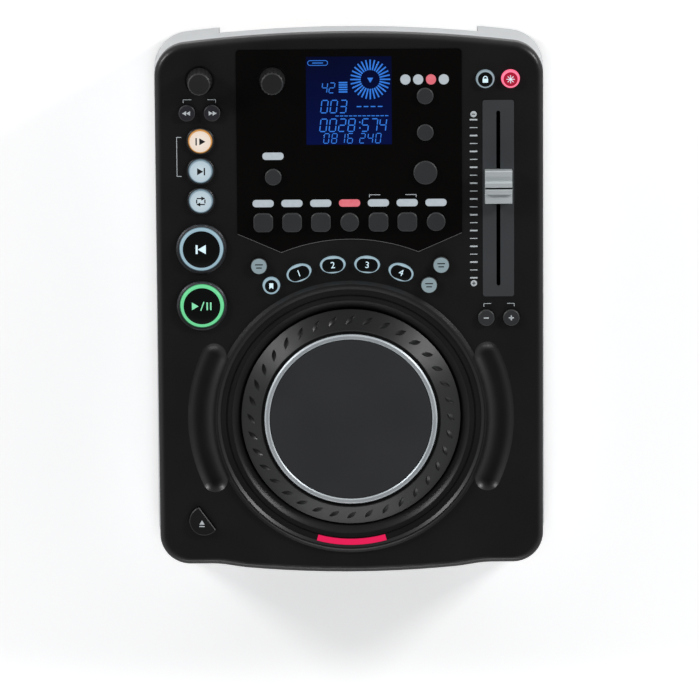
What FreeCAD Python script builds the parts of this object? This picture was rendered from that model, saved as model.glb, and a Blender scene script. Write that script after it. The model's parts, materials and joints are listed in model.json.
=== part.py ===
import FreeCAD, Part
import os
from math import asin, atan2, cos, degrees, radians, sin, sqrt, tan

# Tabletop disc player for disc jockeys: a sloping control panel with a jog wheel, a pitch
# fader, a display and backlit buttons, over a case with a slot-loading disc drive.
# Millimetres. +X is to the right, +Y to the rear and +Z up. The origin is on the table,
# under the middle of the footprint. What sits on the panel is drawn flat in the panel's
# own frame (u right, v to the rear, w out of the panel) and laid on the slope by on_panel.

V = FreeCAD.Vector

# Case outline
CASE_WIDTH = 216.0
CASE_DEPTH = 306.0
REAR_ARC_RADIUS = 770.0
REAR_CORNER_RADIUS = 18.0
FRONT_CORNER_RADIUS = 17.0
FRONT_SETBACK = 5.2
FRONT_BULGE_RADIUS = 620.0
FRONT_BULGE_HALF = 58.0
FRONT_BLEND_LENGTH = 22.0

# Case heights and walls
PANEL_TILT = 5.0
PANEL_HEIGHT = 74.0
PANEL_SHIFT = 2.1
COVER_DEPTH = 21.0
COVER_THICKNESS = 2.5
COVER_EDGE_RADIUS = 4.0
HOUSING_WALL = 2.5
HOUSING_FLARE = 2.5
PLATE_THICKNESS = 1.5
FOOT_HEIGHT = 4.0
FOOT_RADIUS = 9.0
FOOT_INSET = 32.0
BOSS_RADIUS = 4.5
SCREW_RADIUS = 1.5
SCREW_HEAD_RADIUS = 3.0
SCREW_HEAD_HEIGHT = 1.8
SCREW_LENGTH = 18.0

# Clearances
BUTTON_GAP = 0.35
SEAT_GAP = 0.3
FIT_GAP = 0.1
RUNNING_GAP = 0.04

# Glossy control overlay and display
OVERLAY_HALF_WIDTH = 62.5
OVERLAY_REAR_MARGIN = 10.6
OVERLAY_TOP_V = CASE_DEPTH / 2 - OVERLAY_REAR_MARGIN
OVERLAY_SHOULDER_V = 38.8
OVERLAY_NOTCH_U = 38.2
OVERLAY_NOTCH_V = 28.2
OVERLAY_ARCH_V = 35.6
OVERLAY_THICKNESS = 1.2
OVERLAY_RECESS = 0.8
OVERLAY_CORNER = 2.0
DISPLAY_WIDTH = 47.5
DISPLAY_LENGTH = 49.5
DISPLAY_TOP_MARGIN = 3.95
DISPLAY_V = OVERLAY_TOP_V - DISPLAY_TOP_MARGIN - DISPLAY_LENGTH / 2
DISPLAY_BODY_BORDER = 4.0
LAMP_RADIUS = 2.8
LAMP_TOP_MARGIN = 17.1
LAMP_V = OVERLAY_TOP_V - LAMP_TOP_MARGIN
LAMP_FIRST_U = 31.4
LAMP_PITCH = 7.1
LAMP_COUNT = 4
PILL_LENGTH = 11.8
PILL_WIDTH = 4.0
PILL_V = 56.0
SCRATCH_PILL_V = 82.7
LIGHT_RISE = 0.2

# Buttons
BUTTON_TRAVEL = 1.2
FLANGE_LIP = 0.8
FLANGE_THICKNESS = 1.2
PLUNGER_SIZE = 3.0
CAP_CHAMFER = 0.5
SMALL_RADIUS = 4.6
SMALL_RISE = 2.4
EFFECT_V = 45.4
EFFECT_PITCH = 16.05
EFFECT_WIDTH = 10.9
EFFECT_LENGTH = 10.6
EFFECT_CORNER = 3.4
EFFECT_RADIUS = 5.2
EFFECT_RISE = 2.6
TAP_RADIUS = 6.6
RIGHT_COLUMN_U = 42.3
LEFT_COLUMN_U = -82.8
PAD_LENGTH = 13.8
PAD_WIDTH = 9.2
PAD_TURN = 20.0
PAD_INNER_TURN = 4.0
LOOP_RADIUS = 6.4
LOOP_RISE = 2.2
LOOP_PITCH = 16.85
LOOP_MIDDLE_V = 74.6
LOOP_COLLAR_RADIUS = 7.9
LOOP_COLLAR_RISE = 1.6
PLAY_RADIUS = 11.9
PLAY_RISE = 3.0
PLAY_COLLAR_RADIUS = 14.3
PLAY_COLLAR_RISE = 2.4
TEMPO_RADIUS = 4.9
TEMPO_TOP_MARGIN = 17.0
TEMPO_V = OVERLAY_TOP_V - TEMPO_TOP_MARGIN
EJECT_RADIUS = 8.4
EJECT_CHORD_OFFSET = 2.3
EJECT_TURN = 35.7
EJECT_U = -83.0
EJECT_V = -124.9

# Rotary knobs
KNOB_RADIUS = 7.1
KNOB_TOP_RADIUS = 6.3
KNOB_HEIGHT = 14.0
KNOB_V = 125.4
FOLDER_U = -42.4
KNOB_WELL_GAP = 1.1
KNOB_FLUTES = 18
KNOB_FLUTE_DEPTH = 0.4
KNOB_SHAFT_RADIUS = 3.0
ENCODER_SIZE = 12.0
ENCODER_HEIGHT = 6.5

# Pitch fader
FADER_U = 82.9
FADER_ROW_GAP = 11.9
FADER_PLATE_WIDTH = 17.5
FADER_PLATE_LENGTH = 111.0
FADER_V = TEMPO_V - FADER_ROW_GAP - FADER_PLATE_LENGTH / 2
BEND_V = FADER_V - FADER_PLATE_LENGTH / 2 - FADER_ROW_GAP
FADER_PLATE_THICKNESS = 1.0
FADER_SLOT_LENGTH = 99.0
FADER_SLOT_WIDTH = 2.2
FADER_TRAVEL = 90.0
FADER_REST = 7.5
FADER_CAP_WIDTH = 15.1
FADER_CAP_LENGTH = 18.5
FADER_CAP_HEIGHT = 9.5
FADER_LEVER_THICKNESS = 1.2
FADER_LEVER_LENGTH = 6.0
TRACK_WIDTH = 10.0
TRACK_LENGTH = 120.0
TRACK_WALL = 1.2

# Jog wheel and its well
JOG_V = -66.0
RIM_RADIUS = 78.0
RIM_CREST_RADIUS = 75.5
RIM_CREST_RISE = 2.4
RIM_INNER_RADIUS = 73.2
WELL_EDGE_RADIUS = 67.0
WELL_RADIUS = 62.2
WELL_DEPTH = 7.0
WELL_FLOOR = 2.0
WHEEL_RADIUS = 61.4
WHEEL_DROP = 1.0
GRIP_INNER_RADIUS = 50.8
GRIP_RISE = 6.4
WHEEL_LIP = 0.4
WHEEL_SHELL = 2.2
TRIM_OUTER_RADIUS = 48.4
TRIM_INNER_RADIUS = 45.6
TRIM_HEIGHT = 2.4
PLATE_RISE = 2.0
PLATE_DOME = 0.5
DIMPLE_COUNT = 36
DIMPLE_RADIUS = 56.0
DIMPLE_LENGTH = 7.6
DIMPLE_WIDTH = 2.8
DIMPLE_DEPTH = 0.8
DIMPLE_TURN = 45.0
SPINDLE_RADIUS = 4.0
SPINDLE_FLANGE_RADIUS = 12.0
SPINDLE_FLANGE = 1.4
HUB_RADIUS = 8.0
HUB_STEP_RADIUS = 6.0
CODE_DISC_RADIUS = 26.0
CODE_DISC_THICKNESS = 0.8
SCOOP_RADIUS = 84.5
SCOOP_WIDTH = 14.0
SCOOP_DEPTH = 3.0
SCOOP_HALF_ANGLE = 25.0
LIGHT_BAR_INNER = 70.2
LIGHT_BAR_OUTER = 73.4
LIGHT_BAR_HALF_ANGLE = 15.5

# Front slot and disc drive
SLOT_WIDTH = 124.0
SLOT_HEIGHT = 5.0
SLOT_LEVEL = 22.0
BEZEL_WIDTH = 130.0
BEZEL_HEIGHT = 20.0
BEZEL_PROUD = 0.6
DRIVE_WIDTH = 140.0
DRIVE_LENGTH = 150.0
DRIVE_SHEET = 1.2
DRIVE_BASE = 8.5
DRIVE_DROP = 10.0
DISC_RADIUS = 60.0
PATH_MARGIN = 0.5
HUB_DISC_RADIUS = 7.2
SLED_LENGTH = 24.0
SLED_WIDTH = 30.0
SLED_START = 28.0
SLED_TRAVEL = 34.0
RAIL_RADIUS = 1.5
RAIL_SPACING = 20.0

# Rear recess and connectors
RECESS_WIDTH = 146.0
RECESS_DEPTH = 14.0
RECESS_TOP = 37.0
REAR_PANEL_THICKNESS = 1.5
CONNECTOR_LEVEL = 20.0
JACK_FIRST_X = -20.0
JACK_PITCH = 14.0
JACK_RADIUS = 4.15
JACK_LENGTH = 9.0
JACK_BORE_RADIUS = 1.7
JACK_GROOVE = 0.5
JACK_GROOVE_DEPTH = 0.5
JACK_BODY_WIDTH = 11.0
JACK_BODY_HEIGHT = 12.0
JACK_BODY_DEPTH = 10.0
JACK_BORE_DEPTH = 11.0
MINI_JACK_X = -60.0
MINI_JACK_RADIUS = 1.8
MINI_JACK_WALL = 1.4
MINI_BODY_SIZE = 8.0
MINI_BODY_DEPTH = 12.0
MINI_BORE_DEPTH = 11.0
INLET_X = 42.0
INLET_WIDTH = 48.0
INLET_HEIGHT = 24.0
INLET_DEPTH = 24.0
SOCKET_WIDTH = 24.0
SOCKET_HEIGHT = 16.0
SOCKET_DEPTH = 17.0
BLADE_THICKNESS = 2.0
BLADE_HEIGHT = 4.0
BLADE_SPACING = 7.0
ROCKER_WIDTH = 10.0
ROCKER_HEIGHT = 17.0
ROCKER_SWING = 20.0

# Boards
BOARD_THICKNESS = 1.6
BOARD_LEVEL = 12.0
BOARD_SIDE_MARGIN = 10.0
BOARD_HALF_WIDTH = CASE_WIDTH / 2 - BOARD_SIDE_MARGIN
BOARD_FRONT_V = -18.0
BOARD_REAR_V = 131.0
BOARD_STRIP_WIDTH = 27.0
BOARD_STRIP_V = -134.0
BOARD_POST_U = 66.0
STRIP_POST_V = -105.0
SWITCH_SIZE = 6.0
MAIN_BOARD_WIDTH = 160.0
MAIN_BOARD_LENGTH = 92.0
MAIN_BOARD_FRONT_Y = 12.0
MAIN_BOARD_LEVEL = 30.0
CHIP_SIZE = 24.0
CHIP_INSET = 30.0
CHIP_HEIGHT = 2.5
CAPACITOR_RADIUS = 5.0
CAPACITOR_HEIGHT = 14.0
CAPACITOR_INSET = 16.0
POST_RADIUS = 3.0

BASE_LEVEL = FOOT_HEIGHT + PLATE_THICKNESS
PLATE_INSET = 0.2

# Every button: its place on the panel, its form, its size and how far it stands out.
# A round button gives its radius, the others their length and width, and the last number
# is the turn in degrees.
BUTTONS = {
    "search_back_button": (LEFT_COLUMN_U - 7.2, 107.4, "round", SMALL_RADIUS, 0, SMALL_RISE, 0),
    "search_forward_button": (LEFT_COLUMN_U + 6.8, 107.4, "round", SMALL_RADIUS, 0, SMALL_RISE, 0),
    "loop_in_button": (LEFT_COLUMN_U, LOOP_MIDDLE_V + LOOP_PITCH, "round", LOOP_RADIUS, 0, LOOP_RISE, 0),
    "loop_out_button": (LEFT_COLUMN_U, LOOP_MIDDLE_V, "round", LOOP_RADIUS, 0, LOOP_RISE, 0),
    "reloop_button": (LEFT_COLUMN_U, LOOP_MIDDLE_V - LOOP_PITCH, "round", LOOP_RADIUS, 0, LOOP_RISE, 0),
    "cue_button": (LEFT_COLUMN_U, 30.7, "round", PLAY_RADIUS, 0, PLAY_RISE, 0),
    "play_pause_button": (LEFT_COLUMN_U, -1.5, "round", PLAY_RADIUS, 0, PLAY_RISE, 0),
    "scratch_button": (FOLDER_U, 71.1, "round", SMALL_RADIUS, 0, SMALL_RISE, 0),
    "pitch_range_button": (RIGHT_COLUMN_U, TEMPO_V - 9.2, "round", SMALL_RADIUS, 0, SMALL_RISE, 0),
    "bpm_button": (RIGHT_COLUMN_U, TEMPO_V - 29.7, "round", SMALL_RADIUS, 0, SMALL_RISE, 0),
    "tap_button": (RIGHT_COLUMN_U, TEMPO_V - 52.3, "round", TAP_RADIUS, 0, SMALL_RISE, 0),
    "cue_select_button": (-50.8, 20.8, "round", SMALL_RADIUS, 0, SMALL_RISE, 0),
    "memory_button": (-44.0, 9.5, "round", SMALL_RADIUS, 0, SMALL_RISE, 0),
    "hot_cue_1_button": (-28.5, 16.6, "oval", PAD_LENGTH, PAD_WIDTH, SMALL_RISE, PAD_TURN),
    "hot_cue_2_button": (-9.6, 21.1, "oval", PAD_LENGTH, PAD_WIDTH, SMALL_RISE, PAD_INNER_TURN),
    "hot_cue_3_button": (9.6, 21.1, "oval", PAD_LENGTH, PAD_WIDTH, SMALL_RISE, -PAD_INNER_TURN),
    "hot_cue_4_button": (28.5, 16.6, "oval", PAD_LENGTH, PAD_WIDTH, SMALL_RISE, -PAD_TURN),
    "time_button": (50.9, 20.8, "round", SMALL_RADIUS, 0, SMALL_RISE, 0),
    "single_button": (44.1, 9.5, "round", SMALL_RADIUS, 0, SMALL_RISE, 0),
    "tempo_lock_button": (FADER_U - 7.2, TEMPO_V, "round", TEMPO_RADIUS, 0, SMALL_RISE, 0),
    "pitch_on_button": (FADER_U + 6.8, TEMPO_V, "round", TEMPO_RADIUS, 0, SMALL_RISE, 0),
    "bend_minus_button": (FADER_U - 6.9, BEND_V, "round", SMALL_RADIUS, 0, SMALL_RISE, 0),
    "bend_plus_button": (FADER_U + 7.1, BEND_V, "round", SMALL_RADIUS, 0, SMALL_RISE, 0),
    "eject_button": (EJECT_U, EJECT_V, "moon", EJECT_RADIUS, EJECT_CHORD_OFFSET, SMALL_RISE, EJECT_TURN),
}

# The effect row, left to right; two of its buttons are round and the rest nearly square.
EFFECTS = ["echo", "flanger", "filter", "brake", "parameter_x", "parameter_y", "hold"]
ROUND_EFFECTS = ["brake", "hold"]
for place, effect in enumerate(EFFECTS):
    row_u = (place - (len(EFFECTS) - 1) / 2) * EFFECT_PITCH
    if effect in ROUND_EFFECTS:
        form = ("round", EFFECT_RADIUS, 0)
    else:
        form = ("square", EFFECT_WIDTH, EFFECT_LENGTH)
    BUTTONS[effect + "_button"] = (row_u, EFFECT_V) + form + (EFFECT_RISE, 0)

KNOBS = {"track_knob": (LEFT_COLUMN_U, KNOB_V), "folder_knob": (FOLDER_U, TEMPO_V)}


# Frames and basic shapes

def on_panel(shape):
    """Lays a shape drawn in the panel's frame on the sloping panel."""
    placed = shape.copy()
    placed.rotate(V(0, 0, 0), V(1, 0, 0), PANEL_TILT)
    placed.translate(V(0, PANEL_SHIFT, PANEL_HEIGHT))
    return placed


def box(x0, x1, y0, y1, z0, z1):
    return Part.makeBox(x1 - x0, y1 - y0, z1 - z0, V(x0, y0, z0))


def post(x, y, radius, z0, z1):
    return Part.makeCylinder(radius, z1 - z0, V(x, y, z0), V(0, 0, 1))


def tube(x, y, inner, outer, z0, z1):
    return post(x, y, outer, z0, z1).cut(post(x, y, inner, z0 - 1, z1 + 1))


def rounded_box(x, y, width, length, radius, z0, z1):
    """An upright block round (x, y) with its four upright edges rounded."""
    block = box(x - width / 2, x + width / 2, y - length / 2, y + length / 2, z0, z1)
    return block.makeFillet(radius, upright_edges(block))


def upright_edges(shape):
    return [e for e in shape.Edges if is_upright(e)]


def is_upright(edge):
    start, end = edge.Vertexes[0].Point, edge.Vertexes[-1].Point
    return (end - start).Length > 0.1 and abs(abs((end - start).normalize().z) - 1) < 1e-6


def turned(points):
    """The solid that a closed outline of (radius, height) points sweeps about the Z axis."""
    corners = [V(r, 0, h) for r, h in points]
    outline = Part.makePolygon(corners + corners[:1])
    return Part.Face(outline).revolve(V(0, 0, 0), V(0, 0, 1), 360)


def join(first, *others):
    return first.fuse(list(others)).removeSplitter()


def beyond_panel(w0, w1):
    """A slab parallel to the panel, larger than the case, between two distances from it."""
    reach = CASE_WIDTH + CASE_DEPTH
    return on_panel(box(-reach, reach, -reach, reach, w0, w1))


# Case outline

def case_outline(grow):
    """The plan of the case as a closed wire at height 0, moved outwards by grow: a bowed
    rear edge, rounded corners, and a front edge that bulges between two flat stretches."""
    half = CASE_WIDTH / 2 + grow
    rear = CASE_DEPTH / 2 + grow
    front = -CASE_DEPTH / 2 - grow
    flat = front + FRONT_SETBACK
    arc = REAR_ARC_RADIUS + grow
    corner = REAR_CORNER_RADIUS + grow
    nose = FRONT_CORNER_RADIUS + grow
    bulge = FRONT_BULGE_RADIUS + grow
    corner_x = half - corner
    corner_y = rear - arc + sqrt((arc - corner) ** 2 - corner_x ** 2)
    lean = asin(corner_x / (arc - corner))
    touch = V(arc * sin(lean), rear - arc + arc * cos(lean), 0)
    middle_turn = (radians(90) - lean) / 2
    knee = V(corner_x + corner * cos(middle_turn), corner_y + corner * sin(middle_turn), 0)
    nose_x = half - nose
    nose_y = flat + nose
    nose_knee = V(nose_x + nose * cos(radians(45)), nose_y - nose * sin(radians(45)), 0)
    bulge_end = V(FRONT_BULGE_HALF, front + bulge - sqrt(bulge ** 2 - FRONT_BULGE_HALF ** 2), 0)
    slope = FRONT_BULGE_HALF / sqrt(bulge ** 2 - FRONT_BULGE_HALF ** 2)
    blend_end = V(FRONT_BULGE_HALF + FRONT_BLEND_LENGTH, flat, 0)
    pull = FRONT_BLEND_LENGTH * 0.4

    def mirror(point):
        return V(-point.x, point.y, point.z)

    def arc_through(a, b, c):
        return Part.Arc(a, b, c).toShape()

    def line(a, b):
        return Part.LineSegment(a, b).toShape()

    def blend(sign):
        curve = Part.BezierCurve()
        poles = [bulge_end, bulge_end + V(pull, pull * slope, 0), blend_end - V(pull, 0, 0), blend_end]
        curve.setPoles([V(sign * p.x, p.y, 0) for p in poles])
        return curve.toShape()

    side_low, side_high = V(half, nose_y, 0), V(half, corner_y, 0)
    nose_low = V(nose_x, flat, 0)
    edges = [
        line(side_low, side_high),
        arc_through(side_high, knee, touch),
        arc_through(touch, V(0, rear, 0), mirror(touch)),
        arc_through(mirror(touch), mirror(knee), mirror(side_high)),
        line(mirror(side_high), mirror(side_low)),
        arc_through(mirror(side_low), mirror(nose_knee), mirror(nose_low)),
        line(mirror(nose_low), mirror(blend_end)),
        blend(-1),
        arc_through(mirror(bulge_end), V(0, front, 0), bulge_end),
        blend(1),
        line(blend_end, nose_low),
        arc_through(nose_low, nose_knee, side_low),
    ]
    return Part.Wire(edges)


def case_prism(grow, z0, z1):
    wire = case_outline(grow)
    wire.translate(V(0, 0, z0))
    return Part.Face(wire).extrude(V(0, 0, z1 - z0))


def flared_case(inset, z0, over):
    """The lower case's walls: the outline grows towards the table, and its upper edge lies
    in the sloping parting plane, raised by over."""
    low = case_outline(HOUSING_FLARE - inset)
    low.translate(V(0, 0, z0))
    slope = FreeCAD.Matrix()
    slope.A32 = tan(radians(PANEL_TILT))
    slope.A34 = parting_height(0) + over
    high = Part.Wire(case_outline(-inset).transformGeometry(slope).Edges)
    return Part.makeLoft([low, high], True, True)


def parting_height(y):
    """The height of the joint between cover and housing at a distance y to the rear."""
    tilt = radians(PANEL_TILT)
    return PANEL_HEIGHT + (y - PANEL_SHIFT) * tan(tilt) - COVER_DEPTH / cos(tilt)


def corner_posts():
    """Where the four screw bosses stand: inside the rounded corners of the case."""
    rear = CASE_DEPTH / 2 - REAR_ARC_RADIUS
    rear_x = CASE_WIDTH / 2 - REAR_CORNER_RADIUS
    rear_y = rear + sqrt((REAR_ARC_RADIUS - REAR_CORNER_RADIUS) ** 2 - rear_x ** 2)
    front_x = CASE_WIDTH / 2 - FRONT_CORNER_RADIUS
    front_y = -CASE_DEPTH / 2 + FRONT_SETBACK + FRONT_CORNER_RADIUS
    reach_rear = (REAR_CORNER_RADIUS - BOSS_RADIUS - HOUSING_WALL * 0.5) * sin(radians(45))
    reach_front = (FRONT_CORNER_RADIUS - BOSS_RADIUS - HOUSING_WALL * 0.5) * sin(radians(45))
    places = []
    for side in (-1, 1):
        places.append((side * (rear_x + reach_rear), rear_y + reach_rear))
        places.append((side * (front_x + reach_front), front_y - reach_front))
    return places


# Button forms

def form_prism(button, grow, w0, w1):
    """A button's plan, grown by a clearance, as an upright block in the panel's frame."""
    u, v, kind, length, width, rise, turn = button
    if kind == "round":
        solid = post(0, 0, length + grow, w0, w1)
    elif kind == "square":
        solid = rounded_box(0, 0, length + 2 * grow, width + 2 * grow, EFFECT_CORNER + grow, w0, w1)
    elif kind == "oval":
        edge = Part.Ellipse(V(0, 0, w0), length / 2 + grow, width / 2 + grow).toShape()
        solid = Part.Face(Part.Wire(edge)).extrude(V(0, 0, w1 - w0))
    else:
        disc = post(0, 0, length + grow, w0, w1)
        solid = disc.common(box(-2 * length, width + grow, -2 * length, 2 * length, w0, w1))
    solid.rotate(V(0, 0, 0), V(0, 0, 1), turn)
    solid.translate(V(u, v, 0))
    return solid


def on_overlay(button):
    u, v = button[0], button[1]
    return abs(u) < OVERLAY_HALF_WIDTH and v > OVERLAY_SHOULDER_V


def flange_sizes(button):
    kind, length, width = button[2], button[3], button[4]
    if kind in ("round", "moon"):
        return 2 * (length + FLANGE_LIP), 2 * (length + FLANGE_LIP)
    return length + 2 * FLANGE_LIP, width + 2 * FLANGE_LIP


def make_button(button):
    """A cap that stands out of the panel, with a flange behind the panel that keeps it in
    and a plunger that reaches towards its switch."""
    u, v, kind, length, width, rise, turn = button
    behind = -COVER_THICKNESS - SEAT_GAP
    cap = form_prism(button, 0, behind, rise)
    rim = [e for e in cap.Edges if min(p.Z for p in e.Vertexes) > rise - 0.01]
    cap = cap.makeChamfer(CAP_CHAMFER, rim)
    across, along = flange_sizes(button)
    flange = box(-across / 2, across / 2, -along / 2, along / 2, behind - FLANGE_THICKNESS, behind)
    if kind == "moon":
        flange = box(-along / 2, width + FLANGE_LIP, -along / 2, along / 2, behind - FLANGE_THICKNESS, behind)
    half = PLUNGER_SIZE / 2
    plunger = box(-half, half, -half, half, switch_top() + BUTTON_TRAVEL + SEAT_GAP, behind)
    foot = flange.fuse(plunger)
    foot.rotate(V(0, 0, 0), V(0, 0, 1), turn)
    foot.translate(V(u, v, 0))
    return join(cap, foot)


def switch_top():
    """The height, in the panel's frame, of the switches on the control board."""
    return -COVER_THICKNESS - SEAT_GAP - FLANGE_THICKNESS - BUTTON_TRAVEL - 2 * SEAT_GAP - 1.6


# Knobs

def make_knob(u, v):
    """A tapered knob with finger flutes, a rounded crown and a shaft into its encoder."""
    foot = SEAT_GAP
    crown = foot + KNOB_HEIGHT
    body = turned([(0, foot), (KNOB_RADIUS, foot), (KNOB_TOP_RADIUS, crown - 0.8),
                   (KNOB_TOP_RADIUS - 0.8, crown), (0, crown)])
    lean = atan2(KNOB_RADIUS - KNOB_TOP_RADIUS, KNOB_HEIGHT)
    flute_radius = 3 * KNOB_FLUTE_DEPTH
    cutters = []
    for number in range(KNOB_FLUTES):
        start = V(KNOB_RADIUS + flute_radius - KNOB_FLUTE_DEPTH, 0, foot + 1.5)
        cutter = Part.makeCylinder(flute_radius, KNOB_HEIGHT, start, V(-sin(lean), 0, cos(lean)))
        cutter.rotate(V(0, 0, 0), V(0, 0, 1), 360 * number / KNOB_FLUTES)
        cutters.append(cutter)
    body = body.cut(Part.makeCompound(cutters))
    shaft = post(0, 0, KNOB_SHAFT_RADIUS, -BOARD_LEVEL + ENCODER_HEIGHT / 2, foot)
    knob = join(body, shaft)
    knob.translate(V(u, v, 0))
    return knob


def encoder(u, v):
    """The encoder's case on the board, with the bushing that a knob's shaft turns in."""
    half = ENCODER_SIZE / 2
    low = -BOARD_LEVEL
    case = box(u - half, u + half, v - half, v + half, low, low + ENCODER_HEIGHT)
    bushing = post(u, v, KNOB_SHAFT_RADIUS + 1.2, low, -COVER_THICKNESS)
    bore = post(u, v, KNOB_SHAFT_RADIUS + RUNNING_GAP, low + ENCODER_HEIGHT / 2 - SEAT_GAP, 0)
    return case.fuse(bushing).cut(bore)


# Top cover

def overlay_prism(grow, w0, w1):
    """The overlay's plan: straight sides, an arch over the hot cue pads and two corners
    cut off towards them."""
    side = OVERLAY_HALF_WIDTH + grow
    top = OVERLAY_TOP_V + grow
    points = [V(side, OVERLAY_SHOULDER_V - grow, w0), V(side, top, w0), V(-side, top, w0),
              V(-side, OVERLAY_SHOULDER_V - grow, w0), V(-OVERLAY_NOTCH_U, OVERLAY_NOTCH_V - grow, w0)]
    edges = [Part.LineSegment(a, b).toShape() for a, b in zip(points, points[1:])]
    notch = V(OVERLAY_NOTCH_U, OVERLAY_NOTCH_V - grow, w0)
    arch = Part.Arc(points[-1], V(0, OVERLAY_ARCH_V - grow, w0), notch).toShape()
    closing = Part.LineSegment(notch, points[0]).toShape()
    solid = Part.Face(Part.Wire(edges + [arch, closing])).extrude(V(0, 0, w1 - w0))
    corners = [e for e in upright_edges(solid) if e.Vertexes[0].Point.y > top - 0.01]
    return solid.makeFillet(OVERLAY_CORNER + grow, corners)


def well_and_rim():
    """The jog wheel's well and the raised rim around it, as one turned form."""
    flat = RIM_CREST_RISE * 0.45
    groove = RIM_INNER_RADIUS - 3.4
    crest = RIM_CREST_RADIUS
    outline = [
        (0, -WELL_DEPTH - WELL_FLOOR),
        (WELL_RADIUS + WELL_FLOOR, -WELL_DEPTH - WELL_FLOOR),
        (WELL_RADIUS + WELL_FLOOR, -COVER_THICKNESS),
        (RIM_RADIUS, -COVER_THICKNESS),
        (RIM_RADIUS, 0),
        (crest + 0.8, RIM_CREST_RISE - 0.3),
        (crest, RIM_CREST_RISE),
        (crest - 0.8, RIM_CREST_RISE - 0.2),
        (RIM_INNER_RADIUS, flat),
        (groove + 0.5, flat - 0.2),
        (groove + 0.2, flat - 0.8),
        (groove - 0.4, flat - 0.8),
        (groove - 0.7, flat - 0.2),
        (WELL_EDGE_RADIUS, flat - 0.4),
        (WELL_EDGE_RADIUS - 0.4, flat - 0.8),
        (WELL_RADIUS + 0.4, -WHEEL_DROP - 1.5),
        (WELL_RADIUS, -WHEEL_DROP - 1.9),
        (WELL_RADIUS, -WELL_DEPTH),
        (0, -WELL_DEPTH),
    ]
    form = turned(outline)
    form.translate(V(0, JOG_V, 0))
    return form


def ring_sector(inner, outer, w0, w1, half_angle, middle):
    """Part of a flat ring about the jog wheel's axis, centred on a direction in degrees."""
    corners = [V(inner, 0, w0), V(outer, 0, w0), V(outer, 0, w1), V(inner, 0, w1)]
    face = Part.Face(Part.makePolygon(corners + corners[:1]))
    solid = face.revolve(V(0, 0, 0), V(0, 0, 1), 2 * half_angle)
    solid.rotate(V(0, 0, 0), V(0, 0, 1), middle - half_angle)
    solid.translate(V(0, JOG_V, 0))
    return solid


def scoop(middle):
    """A finger scoop beside the jog wheel: a round trough along an arc, with round ends."""
    section = (SCOOP_WIDTH ** 2 / 4 + SCOOP_DEPTH ** 2) / (2 * SCOOP_DEPTH)
    height = section - SCOOP_DEPTH
    trough = Part.makeTorus(SCOOP_RADIUS, section, V(0, 0, height), V(0, 0, 1),
                            0, 360, 2 * SCOOP_HALF_ANGLE)
    trough.rotate(V(0, 0, 0), V(0, 0, 1), middle - SCOOP_HALF_ANGLE)
    ends = []
    for side in (-1, 1):
        turn = radians(middle + side * SCOOP_HALF_ANGLE)
        place = V(SCOOP_RADIUS * cos(turn), SCOOP_RADIUS * sin(turn), height)
        ends.append(Part.makeSphere(section, place))
    solid = trough.fuse(ends)
    solid.translate(V(0, JOG_V, 0))
    return solid


def make_cover():
    body = case_prism(0, 0, PANEL_HEIGHT + CASE_DEPTH)
    body = body.common(beyond_panel(-COVER_DEPTH, 0))
    top = [e for e in body.Edges if all(abs(panel_distance(p.Point)) < 0.01 for p in e.Vertexes)]
    body = body.makeFillet(COVER_EDGE_RADIUS, top)
    inside = case_prism(-COVER_THICKNESS, 0, PANEL_HEIGHT + CASE_DEPTH)
    body = body.cut(inside.common(beyond_panel(-COVER_DEPTH - 1, -COVER_THICKNESS)))
    added = [on_panel(well_and_rim())]
    for middle in (0, 180):
        pad = ring_sector(SCOOP_RADIUS - SCOOP_WIDTH * 0.55, SCOOP_RADIUS + SCOOP_WIDTH * 0.6,
                          -COVER_THICKNESS - SCOOP_DEPTH, -COVER_THICKNESS, SCOOP_HALF_ANGLE + 5, middle)
        added.append(on_panel(pad))
    for u, v in board_posts():
        added.append(on_panel(post(u, v, POST_RADIUS, -BOARD_LEVEL, -COVER_THICKNESS)))
    for x, y in corner_posts():
        stub = post(x, y, BOSS_RADIUS, 0, PANEL_HEIGHT + CASE_DEPTH)
        added.append(stub.common(beyond_panel(-COVER_DEPTH, -COVER_THICKNESS)))
    body = body.cut(on_panel(post(0, JOG_V, WELL_EDGE_RADIUS, -COVER_DEPTH, 1)))
    body = body.fuse(added)
    removed = [overlay_prism(FIT_GAP, -OVERLAY_RECESS, 5)]
    for button in BUTTONS.values():
        removed.append(form_prism(button, BUTTON_GAP, -COVER_THICKNESS - 1, 5))
    for u, v in KNOBS.values():
        if abs(u) > OVERLAY_HALF_WIDTH:
            removed.append(post(u, v, KNOB_RADIUS + KNOB_WELL_GAP, -OVERLAY_RECESS, 5))
        removed.append(post(u, v, KNOB_SHAFT_RADIUS + BUTTON_GAP, -COVER_THICKNESS - 1, 5))
    border = 2 * FIT_GAP
    removed.append(box(-DISPLAY_WIDTH / 2 - border, DISPLAY_WIDTH / 2 + border,
                       DISPLAY_V - DISPLAY_LENGTH / 2 - border, DISPLAY_V + DISPLAY_LENGTH / 2 + border,
                       -COVER_THICKNESS - 1, 5))
    removed.append(fader_plate_blank(FIT_GAP, -FADER_PLATE_THICKNESS, 5))
    removed.append(box(FADER_U - FADER_SLOT_WIDTH, FADER_U + FADER_SLOT_WIDTH,
                       FADER_V - FADER_SLOT_LENGTH / 2 - 1, FADER_V + FADER_SLOT_LENGTH / 2 + 1,
                       -COVER_THICKNESS - 1, 5))
    removed.append(light_bar(FIT_GAP, -COVER_THICKNESS - 1, 5))
    removed += [scoop(0), scoop(180)]
    return body.cut([on_panel(r) for r in removed]).removeSplitter()


def panel_distance(point):
    """How far a point of the case lies above the panel's plane."""
    tilt = radians(PANEL_TILT)
    return (point.z - PANEL_HEIGHT) * cos(tilt) - (point.y - PANEL_SHIFT) * sin(tilt)


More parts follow.
